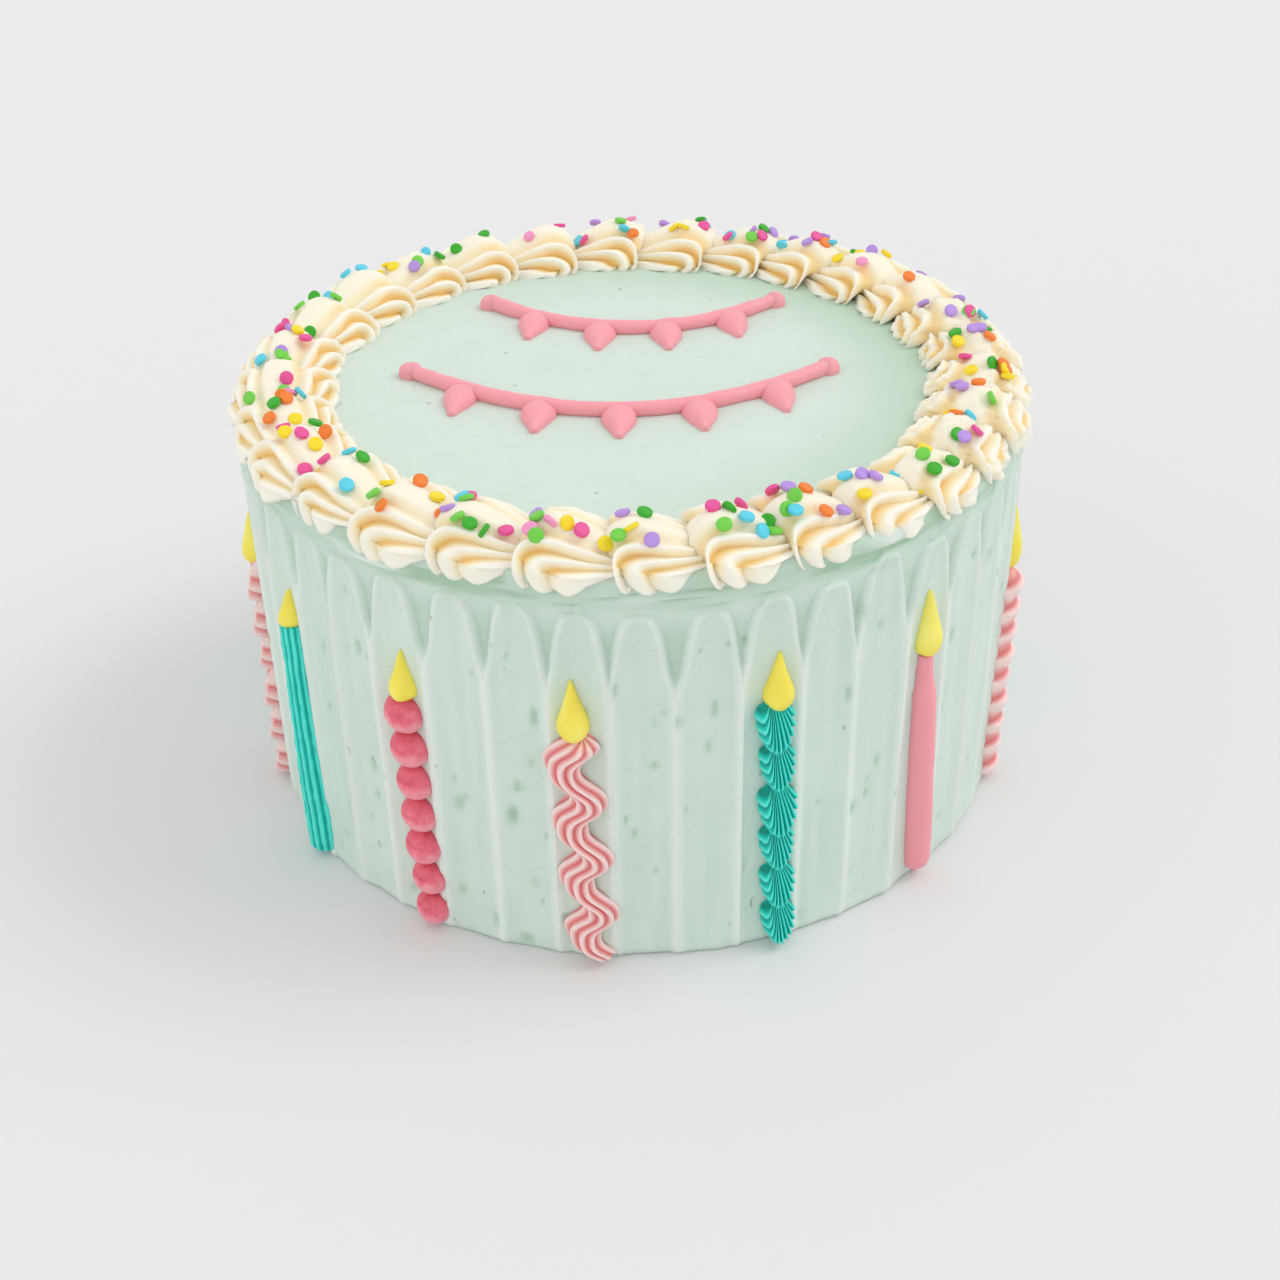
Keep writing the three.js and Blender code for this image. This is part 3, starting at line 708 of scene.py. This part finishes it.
def rib_columns():
    """Places across a shell, how high the ribs stand there, 0 in a groove and 1 on a crest, and how high they
    stand at their feet, which are round lobes."""
    dome_steps = np.linspace(-1, 1, DOME_STEPS)
    rib_steps = np.linspace(-1, 1, RIB_STEPS + 1)[1:]
    leaning = rib_steps - RIB_LEAN * (1 - rib_steps**2)
    crest = (0.5 + 0.5 * np.cos(np.pi * leaning)) ** RIB_ROUNDNESS
    lobe = np.maximum(0, 1 - leaning**2) ** LOBE_ROUNDNESS
    across = [RIB_EDGES[0] * dome_steps]
    level = [1 - (1 - DOME_FOOT) * smooth(0.45, 1, np.abs(dome_steps))]
    toes = [np.sqrt(1 - 0.98 * np.abs(dome_steps) ** 2.5)]
    foot = DOME_FOOT
    for low, high in zip(RIB_EDGES, RIB_EDGES[1:]):
        places = mix(low, high, (rib_steps + 1) / 2)
        flank = np.ones(RIB_STEPS) if high == RIB_EDGES[-1] else crest
        heights = np.where(leaning < 0, mix(foot, 1, crest), flank)
        ends = np.where(leaning < 0, lobe, np.maximum(lobe, flank))
        across = [-places[::-1], *across, places]
        level = [heights[::-1], *level, heights]
        toes = [ends[::-1], *toes, ends]
        foot = 0
    return np.concatenate(across), np.concatenate(level), np.concatenate(toes)


def groove_depths(size, across, turn, ragged):
    """How deep the grooves between the ribs are: less towards the tail, and more under the feet."""
    depth = RIB_DEPTH * size * (1 - 0.55 * smooth(80, 170, turn))
    shallow = np.where(across < 0, 0.95, 0.9)
    depth = depth * mix(1, shallow, smooth(40, -20, turn)) * (1 + 0.7 * smooth(-38, -56, turn))
    depth = depth * (1 - 0.4 * ragged)
    return depth * np.where(across < 0, 1, mix(1, 0.6, smooth(0.74, 0.83, across)))


def groove_shades(sunk, across, turn):
    """Groove levels of a shell as painted shade, strongest in the pockets round its head and on its inner
    side and fainter at its outer edge, with the dome painted a little less light than the rib crests.
    """
    side = np.abs(across)
    hooked = smooth(-35, 15, turn) * smooth(125, 60, turn)
    hooked = np.where(across < 0, mix(0.6, 1.25, hooked), mix(0.35, 1.0, hooked))
    shade = np.clip(sunk, 0, 1) ** 1.2 * hooked + 0.14 * (1 - smooth(0.2, 0.5, side))
    return np.clip(shade * (1 - 0.5 * smooth(0.94, 0.99, side)), 0, 1)


def shell_texture(points, across, turn, i, ragged):
    """Lumps, which are strong where a shell is ragged, and faint streaks along its ribs."""
    lumps = noise(points, 2.4, 7 + i) + 0.4 * noise(points, 0.9, 8 + i)
    streaks = noise(stacked(across * 7, turn / 70, 3.0 * i), 1.0, 9)
    return (0.06 + ragged) * lumps + 0.3 * noise(points, 6, 8) + 0.16 * streaks


def shell_border():
    columns, level, toes = rib_columns()
    across, turn = np.meshgrid(columns, SHELL_TURNS, indexing="ij")
    side = np.abs(across)
    sunk = 1 - mix(level[:, None], toes[:, None], smooth(20, -25, turn))
    shade = groove_shades(sunk, across, turn)
    toe = 1.5 * (1 - np.sqrt(1 - np.clip((-50 - turn) / 12, 0, 1) ** 2))
    edge = smooth(RIB_EDGES[-1], mix(0.97, 0.92, smooth(30, 80, turn)), side)
    piece = Piece()
    for i, shell in enumerate(SHELLS):
        wobble = 0.016 * np.sin(np.radians(turn) * 2.3 + 9 * chance(i, 31)) * smooth(0.2, 0.5, side)
        points = shell_surface(shell, across + wobble, turn)
        # the shells on the right of the photo are ragged
        ragged = smooth(38, 60, shell["angle"]) * smooth(125, 100, shell["angle"])
        depth = groove_depths(shell["size"], across, turn, ragged)
        relief = shell_texture(points, across, turn, i, ragged) - depth * sunk - toe
        piece.loft(points + shell_normals(shell, across, turn) * (edge * relief)[..., None], shade)
    return piece.build("shell_border", PIPED["cream"], "cream_icing", "piped_border")


# ---- confetti
# How many in 28 have the colour, and the colour
CONFETTI = {
    "yellow": (5, (255, 228, 30)),
    "green": (3, (50, 178, 26)),
    "lime": (2, (118, 215, 72)),
    "orange": (3, (250, 132, 36)),
    "pink": (4, (240, 84, 160)),
    "petal": (2, (252, 158, 205)),
    "lavender": (5, (190, 150, 232)),
    "turquoise": (4, (90, 215, 240)),
}
# Shares of the radius and of the thickness, from the middle of the upper face to the middle of the lower one
DISC_PROFILE = [(0.5, 0.5), (0.84, 0.5), (0.97, 0.36), (1.0, 0.0), (0.97, -0.36), (0.84, -0.5), (0.5, -0.5)]
DISC_STEPS = 20
SPRINKLES_LEAST = 3
SPRINKLES_RANGE = 7
SPRINKLE_ACROSS = (0.06, 0.42)
SPRINKLE_TURNS = (48, 150)
SPRINKLE_SPIN = 6.28
TILT_LYING = 0.45
TILT_STANDING = 1.6
LYING_SHARE = 0.8


def sugar(name, rgb):
    """Pressed sugar: matt, with a fine grain and a slightly uneven tint."""
    material, tree, shader = new_material(name, Roughness=0.45, Subsurface_Weight=0.1, Subsurface_Scale=0.001)
    place = new_node(tree, "ShaderNodeTexCoord").outputs["Object"]
    tint = noise_texture(tree, place, 420.0, 2.0)
    colour = blended(tree, tint, toned(linear(rgb), 0.93), linear(rgb))
    tree.links.new(colour, shader.inputs["Base Color"])
    tree.links.new(bumped(tree, noise_texture(tree, place, 2600.0, 3.0), 0.00005), shader.inputs["Normal"])
    return material


def disc_rows(centre, normal, spin):
    side = np.cross(normal, [math.cos(spin), math.sin(spin), 0.3])
    side = side / np.linalg.norm(side)
    other = np.cross(normal, side)
    turn = np.linspace(0, 2 * np.pi, DISC_STEPS, endpoint=False)[:, None]
    ring = np.cos(turn) * side + np.sin(turn) * other
    radius = SPRINKLE_DIAMETER / 2
    rows = [centre + ring * radius * wide + normal * SPRINKLE_THICKNESS * up for wide, up in DISC_PROFILE]
    return np.array(rows)


def sprinkle(shell, number):
    """One sprinkle, which lies on the dome of a shell or, now and then, stands in it."""
    middle, range_across = SPRINKLE_ACROSS
    across = np.array(middle + spread(number, 41, range_across))
    turn = np.array(mix(*SPRINKLE_TURNS, chance(number, 42) ** 1.2))
    tilt = TILT_LYING if chance(number, 43) < LYING_SHARE else TILT_STANDING
    normal = shell_normals(shell, across, turn)
    normal = normal + tilt * np.array([spread(number, 44, 1), spread(number, 45, 1), 0])
    normal = normal / np.linalg.norm(normal)
    lift = SPRINKLE_THICKNESS * (0.25 + 0.5 * chance(number, 46))
    centre = shell_surface(shell, across, turn) + normal * lift
    return disc_rows(centre, normal, SPRINKLE_SPIN * chance(number, 47))


def confetti():
    pieces = {name: Piece() for name in CONFETTI}
    names = [name for name in CONFETTI for _ in range(CONFETTI[name][0])]
    number = 0
    for i, shell in enumerate(SHELLS):
        for _ in range(SPRINKLES_LEAST + int(SPRINKLES_RANGE * chance(i, 40))):
            number += 1
            name = names[int(len(names) * chance(number, 48))]
            pieces[name].loft(sprinkle(shell, number))
    for name, (_, rgb) in CONFETTI.items():
        pieces[name].build(f"confetti_{name}", sugar(f"sugar_{name}", rgb), "cream_icing", "piped_border")


# ---- candles
def on_side(wax, x, proud, z):
    """Points on the cake's side, from a shift sideways, how far they stand out and their height."""
    x, proud, z = np.broadcast_arrays(x, proud, z)
    return polar(mix(*wax["angles"], z / wax["top"]) + arc_degrees(x), CAKE_RADIUS + proud, z)


def star_ridges(phase, sharpness):
    """Ridges of a star tip, one for each whole number of phase: 1 on a crest and 0 in a groove."""
    return np.abs(np.cos(np.pi * phase)) ** sharpness


def piped_turns(steps):
    """Degrees round a piped line, from where one edge is sunk in the cake's icing to the other."""
    return np.linspace(-PIPED_ROOT, PIPED_ROOT, steps)


def share_up(wax, z):
    """Shares of the way from a candle's foot to its top."""
    return (z - CANDLE_BOTTOM) / (wax["top"] - CANDLE_BOTTOM)


def rows_up(wax, count):
    """The heights of rows of points from a candle's foot to its top, as a column."""
    return np.linspace(CANDLE_BOTTOM, wax["top"], count)[:, None]


def noise_places(turn, z):
    """Where the points of a piped line are in its noise: in steps of 14 degrees round it, and in height."""
    return stacked(turn / 14, 0.0, z)


def rounded_ends(z, bottom, top, rounding):
    """A share that falls to nearly nothing at both ends, as a rounded end does."""
    low, high = (1 - np.clip(gap / rounding, 0, 1) for gap in (z - bottom, top - z))
    return np.sqrt(np.maximum(0.05, 1 - low**2)) * np.sqrt(np.maximum(0.05, 1 - high**2))


def round_end(share):
    """How wide a round end is at shares of the way from its tip to where it is widest."""
    share = np.clip(share, 0.02, 1)
    return np.sqrt(share * (2 - share))


def unit_ball(pole, rows, columns):
    """Points of a ball of radius 1, in rows that begin and end pole degrees from its poles."""
    down = np.radians(np.linspace(pole, 180 - pole, rows))[:, None]
    around = np.radians(np.linspace(0, 360, columns, endpoint=False))
    return stacked(np.sin(down) * np.cos(around), np.sin(down) * np.sin(around), np.cos(down))


ROPE_RIDGES = 7
ROPE_GROOVE = 0.15


def rope_stick(piece, wax, seed):
    """A straight line of a star tip, with ridges that waver a little."""
    z = rows_up(wax, 130)
    turn = piped_turns(81)
    ends = rounded_ends(z, CANDLE_BOTTOM, wax["top"] + 4, 3.0)
    place = noise_places(turn, z)
    crimp = 0.035 * noise(place, [1.0, 1, 2.2], seed) + 0.03 * noise(place, [2.0, 1, 6], seed + 1)
    drift = 4 * noise(place, [30.0, 1, 14], seed + 2)
    ridge = star_ridges((turn + drift) / 180 * ROPE_RIDGES, 0.9)
    swell = 1 - ROPE_GROOVE * (1 - ridge) + crimp
    half = mix(5.0, 4.1, smooth(20, wax["top"], z)) * ends
    x = half * np.sin(np.radians(turn)) * swell
    y = half * np.cos(np.radians(turn)) * swell
    # painted shade between the ridges and painted highlight on them, lighter where a crimp swells
    piece.loft(on_side(wax, x, y, z), np.clip(1 - ridge - 4 * crimp, 0, 1) * 0.8)


BEAD_COUNT = 7
BEAD_RADII = (5.0, 4.4, 5.1)  # sideways, outwards and upwards
BEAD_PROUD = 0.7


def dot_stick(piece, wax, seed):
    """Beads one above another, each with the dimple that the tip left where it was pulled off."""
    step = (wax["top"] - CANDLE_BOTTOM) / BEAD_COUNT
    wide, deep, tall = BEAD_RADII
    ball = unit_ball(2, 30, 40)
    for bead in range(BEAD_COUNT):
        middle = CANDLE_BOTTOM + (bead + 0.5) * step
        size = 1 + spread(bead, seed, 0.05)
        swirl = 0.03 * noise(ball, [0.8, 0.8, 0.8], seed + bead)
        bend = ball[..., 2] - 0.18 - 0.5 * (ball[..., 0] - 0.1) ** 2 + spread(bead, seed + 2, 0.1)
        dimple = 0.12 * np.exp(-((bend / 0.13) ** 2)) * smooth(0.62, 0.3, np.abs(ball[..., 0] + 0.12))
        reach = size * (1 + swirl)
        x = spread(bead, seed + 1, 0.3) + wide * reach * ball[..., 0]
        y = BEAD_PROUD + deep * reach * (1 - dimple) * ball[..., 1]
        z = middle + tall * reach * ball[..., 2]
        speckle = 0.2 * noise(ball, 0.4, seed + bead) + 0.2 * noise(ball, 0.12, seed + bead)
        # painted shade in the dimple and over each bead's upper part, painted lighter below; the speckle is
        # uneven tone
        shade = 0.22 + 2.4 * dimple + 0.55 * ball[..., 2] + speckle
        piece.loft(on_side(wax, x, y, z), np.clip(shade, 0, 1))


ZIGZAG_BENDS = 7.85
ZIGZAG_START = 1.41
ZIGZAG_SWING = 3.0
ZIGZAG_HALF = 4.7
ZIGZAG_RIDGES = 5.2
ZIGZAG_GROOVE = 0.26


def zigzag_stick(piece, wax, seed):
    """A ridged band that swings from side to side, and stands out further where it folds over itself."""
    z = rows_up(wax, 190)
    wave = np.pi * (ZIGZAG_BENDS * share_up(wax, z) - ZIGZAG_START)
    turn = piped_turns(97)
    angle = np.radians(turn)
    place = noise_places(turn, z)
    drift = 7 * noise(place, [30.0, 1, 9], seed + 5)
    ridge = star_ridges((turn + drift) / 180 * ZIGZAG_RIDGES, 1.4)
    ends = rounded_ends(z, CANDLE_BOTTOM, wax["top"], 2.5)
    swell = 1 - ZIGZAG_GROOVE * (1 - ridge) + 0.05 * noise(place, [2, 1, 3], seed)
    bend = wave + 0.55 * np.sin(angle)
    swing = np.sin(bend) + 0.07 * np.sin(3 * bend)
    over = 0.5 + 0.5 * np.sin(wave - 1.0)
    x = ZIGZAG_SWING * swing + ZIGZAG_HALF * ends * np.sin(angle) * swell
    y = mix(4.4, 6.2, over) * ends * np.cos(angle) * swell
    low = 1.6 * np.cos(angle) * smooth(0, 6, z - CANDLE_BOTTOM)
    # painted shade in the grooves and painted highlight on the ridges
    piece.loft(on_side(wax, x, y, z - low + 0.8), np.clip(1 - ridge, 0, 1))


FAN_COUNT = 6
FAN_SPREAD = 97  # degrees from the middle to either side
FAN_OVERLAP = 2.8
FAN_ROOT = 2.2
FAN_OUT_STEPS = 24
FAN_BACK_STEPS = 5
FAN_BACK = -1.5  # how far the underside is sunk in the cake's icing


def fan_stick(piece, wax, seed, ridges=11, half=4.7, proud=6.2):
    """Fans pulled downwards one below another, each over the top of the next, with hooked petals on its left.
    v goes from -1 at a fan's left to 1 at its right, and t from 0 at its root to 1 at its tips and back."""
    step = (wax["top"] - CANDLE_BOTTOM) / FAN_COUNT
    v = np.linspace(-1, 1, ridges * 8 + 1)[:, None]
    t = np.concatenate([np.linspace(0, 1, FAN_OUT_STEPS), np.linspace(1, 0, FAN_BACK_STEPS + 1)[1:]])
    under = np.arange(len(t)) >= FAN_OUT_STEPS
    ridge = star_ridges(v * ridges / 2, 1.2)
    fan_turn = np.radians(FAN_SPREAD) * v
    hooked = smooth(0.3, -0.5, v)
    flare = mix(t, t**1.8, hooked)
    fall = mix(t, 1 - (1 - t) ** 1.7, hooked)
    for number in range(FAN_COUNT):
        root = CANDLE_BOTTOM + (number + 1) * step + FAN_ROOT
        size = 1 + spread(number, seed, 0.06)
        length = (step + FAN_OVERLAP) * size * (0.3 + 0.7 * np.cos(fan_turn)) * (0.94 + 0.06 * ridge)
        x = half * size * np.sin(fan_turn) * mix(0.25, 1.0, flare) * (0.86 + 0.14 * ridge)
        x = x + spread(number, seed + 1, 0.3)
        height = mix(1.2, proud * size, np.sin(np.pi / 2 * t) ** 1.3) * np.cos(np.radians(52) * v)
        end = np.sqrt(np.maximum(0.0, 1 - smooth(0.74, 1.02, t) ** 2))
        y = height * end * (1 - 0.24 * (1 - ridge) * smooth(0, 0.25, t))
        y = np.where(under, FAN_BACK, y)
        # painted shade in the grooves between ridges and painted highlight on the ridges
        groove = np.clip((1 - ridge) * (1 - under), 0, 1)
        piece.loft(on_side(wax, x, y, root - length * fall), groove)


def star_stick(piece, wax, seed):
    fan_stick(piece, wax, seed, ridges=6, half=4.8, proud=5.0)


TUBE_SHARES = (0, 0.3, 0.62, 0.83, 0.92, 1)
TUBE_HALVES = (4.1, 4.3, 3.9, 3.6, 2.5, 2.2)
TUBE_PROUD = 1.02


def tube_stick(piece, wax, seed):
    """A smooth line of a round tip, thinner towards its top."""
    z = rows_up(wax, 120)
    ends = rounded_ends(z, CANDLE_BOTTOM + 1.2, wax["top"] + 8, 4.0)
    place = stacked(0.0, 0.0, z)
    half = np.interp(share_up(wax, z), TUBE_SHARES, TUBE_HALVES)
    half = half * ends * (1 + 0.03 * noise(place, [1, 1, 7], seed))
    sideways = 0.25 * noise(place, [1, 1, 16], seed + 1)
    angle = np.radians(piped_turns(81))
    x = sideways + half * np.sin(angle)
    piece.loft(on_side(wax, x, TUBE_PROUD * half * np.cos(angle), z))


TWIST_PITCH = 7.4
TWIST_RISE = 0.8  # the share of a turn over which its frill swells
TWIST_HALF = 4.4
TWIST_PROUD = 4.8


def twist_stick(piece, wax, seed):
    """A rope whose strands climb round it, each with a frilled lower edge."""
    z = rows_up(wax, 190)
    turn = piped_turns(81)
    angle = np.radians(turn)
    saw = (z / TWIST_PITCH - turn / 360) % 1.0
    frill = np.where(saw < TWIST_RISE, saw / TWIST_RISE, (1 - saw) / (1 - TWIST_RISE)) ** 1.3
    frill = frill * (1 + 0.35 * noise(noise_places(turn, z), [2, 1, 5], seed))
    ends = rounded_ends(z, CANDLE_BOTTOM, wax["top"], 3.0)
    swell = (0.78 + 0.34 * frill) * (ends * mix(0.92, 1.08, share_up(wax, z)))
    x = TWIST_HALF * np.sin(angle) * swell
    y = TWIST_PROUD * np.cos(angle) * swell
    # painted highlight where each frill swells and painted shade between the frills
    piece.loft(on_side(wax, x, y, z), np.clip(1 - frill * 1.6, 0, 1))


# The width of a flame, as a share of the widest, at shares of its height above the widest place
FLAME_SHARES = (0.24, 0.36, 0.5, 0.67, 0.83, 0.93, 1.0)
FLAME_WIDTHS = (1.0, 0.92, 0.7, 0.45, 0.26, 0.14, 0.04)
FLAME_BEND = 0.4  # how far the tip strays sideways at most


def flame(piece, wax, seed):
    """A teardrop of icing with its round end down, faint ripples round that end and its tip drawn upwards."""
    middle, width, bottom, top = wax["flame"]
    share = np.concatenate([np.linspace(0, 0.06, 5), np.linspace(0.09, 1, 38)])[:, None]
    wide = round_end(share / FLAME_SHARES[0]) * np.interp(share, FLAME_SHARES, FLAME_WIDTHS)
    turn = np.radians(piped_turns(37))
    ripple = 1 + 0.012 * np.sin(share * 60 + seed) * (1 - smooth(0.1, 0.4, share))
    bent = wax["lean"] * share + FLAME_BEND * spread(seed, 61, 1) * share
    x = bent + wide * width / 2 * np.sin(turn)
    y = FLAME_HEIGHT * (wide**0.6 * ripple) * np.cos(turn)
    z = bottom + (top - bottom) * share
    angle = middle + arc_degrees(x)
    crease = noise(stacked(x / 2.2, 0.0, z / 9), 1.0, seed)
    outwards = polar(angle, 1.0, 0.0) * (0.45 * wide * crease)[..., None]
    # painted highlight where a crease bulges out and painted shade where it sinks
    piece.loft(polar(angle, CAKE_RADIUS + y, z) + outwards, PLAIN_LEVEL * (1 - crease))


def candle(stick, colour, angles, top, flame, lean=0.0):
    """A candle: what pipes its stick, its icing, the angles of its foot and its top, the height of its top,
    and its flame's angle, width, foot and tip. The tip of the flame leans sideways by lean."""
    return {"stick": stick, "colour": colour, "angles": angles, "top": top, "flame": flame, "lean": lean}


CANDLES = [
    candle(star_stick, "blush", (-76.5, -78), 71, (-78.5, 7.2, 70, 87)),
    candle(rope_stick, "teal", (-55.2, -56.0), 74.5, (-55.9, 6.8, 73.4, 84.2)),
    candle(dot_stick, "coral", (-30.3, -32.2), 72, (-31.9, 7.6, 71.2, 85)),
    candle(zigzag_stick, "blush", (-6.0, -8.4), 69.5, (-8.0, 8.0, 68.8, 85.3)),
    candle(fan_stick, "teal", (19.5, 18.0), 75.5, (18.7, 7.8, 73.7, 89.3)),
    candle(tube_stick, "coral", (45.2, 43.1), 73, (43.1, 7.6, 72.8, 91.3)),
    candle(twist_stick, "blush", (72.5, 74), 69, (74.0, 6.6, 69, 88.5), 1.5),
    candle(rope_stick, "teal", (101, 100), 74, (100, 7.4, 72.5, 88)),
    candle(dot_stick, "coral", (126, 127), 71, (127, 7.8, 70, 86)),
    candle(zigzag_stick, "blush", (153, 151), 70, (151, 8, 69, 86)),
    candle(fan_stick, "teal", (177, 178), 74, (178, 7.8, 72.5, 88.5)),
    candle(tube_stick, "coral", (203.5, 202.5), 72, (202.5, 7.6, 71.4, 89.5)),
    candle(star_stick, "blush", (229, 228), 71, (228, 7.8, 70, 87)),
    candle(rope_stick, "teal", (254, 255), 73, (255, 7.4, 71.5, 87)),
]


def candles():
    for number, wax in enumerate(CANDLES, start=1):
        name = f"candle_{number:02d}"
        stick = Piece()
        wax["stick"](stick, wax, 70 + number)
        stick.build(f"{name}_piping", PIPED[wax["colour"]], f"{wax['colour']}_icing", f"{name}_stick")
        tip = Piece()
        flame(tip, wax, number)
        tip.build(f"{name}_teardrop", PIPED["yellow"], "yellow_icing", f"{name}_flame")


# ---- garlands on the top
GARLANDS = {
    "garland_back": {"start": (-41, 52), "end": (43, 50), "sag": 20, "drops": 4},
    "garland_front": {"start": (-60, 4), "end": (54, 2), "sag": 26, "drops": 5},
}
GARLAND_LIFT = 0.35  # how high its middle lies, as a share of its thickness
KNOT_RADIUS = 0.8  # as a share of its thickness
KNOT_LIFT = 0.5
DROP_WIDTH = 9.5
DROP_LENGTH = 14.0
DROP_HEIGHT = 4.0
DROP_ROUND_END = 0.25  # the share of its length that is its round end
DROP_TIP = 0.07
DROP_FAN = 0.25  # radians by which the outermost drops lean


def garland_line(shape, share):
    """Points along a garland's string, in the plane of the top."""
    start, end = np.array(shape["start"], float), np.array(shape["end"], float)
    middle = (start + end) / 2 - [0, 2 * shape["sag"]]
    share = np.asarray(share)[..., None]
    return (1 - share) ** 2 * start + 2 * share * (1 - share) * middle + share**2 * end


def garland_string(piece, shape, seed):
    line = garland_line(shape, np.linspace(0, 1, 150))
    step = np.gradient(line, axis=0)
    across = np.stack([-step[:, 1], step[:, 0]], axis=-1)
    across /= np.linalg.norm(across, axis=-1, keepdims=True)
    flat = stacked(line[:, 0], line[:, 1], 0.0)
    thick = GARLAND_THICKNESS / 2 * (1 + 0.08 * noise(flat, 6, seed) + 0.05 * noise(flat, 2.5, seed + 1))
    turn = np.radians(np.linspace(0, 360, 28, endpoint=False))
    points = np.zeros((len(line), len(turn), 3))
    points[..., :2] = line[:, None] + across[:, None] * (thick[:, None] * np.cos(turn))[..., None]
    points[..., 2] = CAKE_HEIGHT + GARLAND_LIFT * GARLAND_THICKNESS + thick[:, None] * np.sin(turn)
    piece.loft(points)


def garland_knot(piece, place, seed):
    ball = unit_ball(3, 20, 32)
    radius = KNOT_RADIUS * GARLAND_THICKNESS * (1 + 0.08 * noise(ball, 0.7, seed))
    piece.loft(ball * radius[..., None] + [place[0], place[1], CAKE_HEIGHT + KNOT_LIFT])


def garland_drop(piece, place, lean, seed):
    """A drop that hangs towards the front, with its round end at the string."""
    share = np.linspace(0, 1, 40)[:, None]
    tapering = 1 - 0.92 * smooth(0.12, 1.1, share - 0.1)
    wide = np.maximum(DROP_TIP, round_end(share / DROP_ROUND_END) * tapering)
    turn = np.radians(piped_turns(41))
    x = wide * DROP_WIDTH / 2 * np.sin(turn)
    up = DROP_HEIGHT * wide**0.6 * np.cos(turn)
    along = DROP_LENGTH * share
    sideways = place[0] + x * math.cos(lean) + along * math.sin(lean)
    backwards = place[1] - along * math.cos(lean) + x * math.sin(lean)
    points = stacked(sideways, backwards, CAKE_HEIGHT + up)
    piece.loft(points + 0.15 * noise(points, 3.0, seed)[..., None])


def garlands():
    for number, (name, shape) in enumerate(GARLANDS.items()):
        seed = 90 + 10 * number
        piece = Piece()
        garland_string(piece, shape, seed)
        for end in (0.0, 1.0):
            garland_knot(piece, garland_line(shape, end), seed + end)
        for i in range(shape["drops"]):
            share = (i + 0.75) / (shape["drops"] + 0.5)
            garland_drop(piece, garland_line(shape, share), mix(-DROP_FAN, DROP_FAN, share), seed + i)
        piece.build(name + "_piping", PIPED["rose"], "rose_icing", name)


# ---- stage, camera and light
# Lengths here are in metres. The camera was fitted to the photo's top and bottom edges.
FLOOR_HALF = 4.0
FLOOR_GREY = (0.8, 0.8, 0.8, 1)
CAMERA_DISTANCE = 0.51713
CAMERA_ELEVATION = 33.028
CAMERA_ROLL = -0.0185  # radians
CAMERA_TARGET = (0.001349, 0.0, 0.02849)
LENS = 48.66  # for a sensor 36 mm wide
SENSOR_WIDTH = 36
WORLD_STRENGTH = 0.83
# Broad soft lights: [name, towards the light, strength, width in degrees]
SUNS = [
    ["window", (0.8, 0.1, 0.9), 0.75, 35],
    ["fill", (-0.95, -0.55, 0.35), 0.34, 70],
]


def floor():
    mesh = bpy.data.meshes.new("floor")
    corners = [(x * FLOOR_HALF, y * FLOOR_HALF, 0.0) for x, y in ((-1, -1), (1, -1), (1, 1), (-1, 1))]
    mesh.from_pydata(corners, [], [(0, 1, 2, 3)])
    material, _, _ = new_material("floor", Base_Color=FLOOR_GREY, Roughness=0.9, Specular_IOR_Level=0.0)
    mesh.materials.append(material)
    made = new_object("floor", mesh)


def camera():
    data = bpy.data.cameras.new("camera")
    data.sensor_width = SENSOR_WIDTH
    data.lens = LENS
    data.clip_start = 0.01
    made = new_object("camera", data)
    tilted = Matrix.Rotation(math.radians(90 - CAMERA_ELEVATION), 4, "X")
    rolled = Matrix.Rotation(CAMERA_ROLL, 4, "Z")
    back = Matrix.Translation((0, 0, CAMERA_DISTANCE))
    made.matrix_world = Matrix.Translation(CAMERA_TARGET) @ tilted @ rolled @ back
    bpy.context.scene.camera = made


def soft_sun(name, towards, energy, width):
    data = bpy.data.lights.new(name, "SUN")
    data.energy = energy
    data.angle = math.radians(width)
    made = new_object(name, data)
    made.rotation_euler = Vector(towards).normalized().to_track_quat("Z", "Y").to_euler()


def lights():
    world = bpy.data.worlds.new("studio")
    world.use_nodes = True
    background = world.node_tree.nodes["Background"]
    background.inputs["Color"].default_value = (1, 1, 1, 1)
    background.inputs["Strength"].default_value = WORLD_STRENGTH
    bpy.context.scene.world = world
    for sun in SUNS:
        soft_sun(*sun)
    bpy.context.scene.view_settings.view_transform = "Standard"


floor()
camera()
lights()
cake_icing()
shell_border()
confetti()
candles()
garlands()
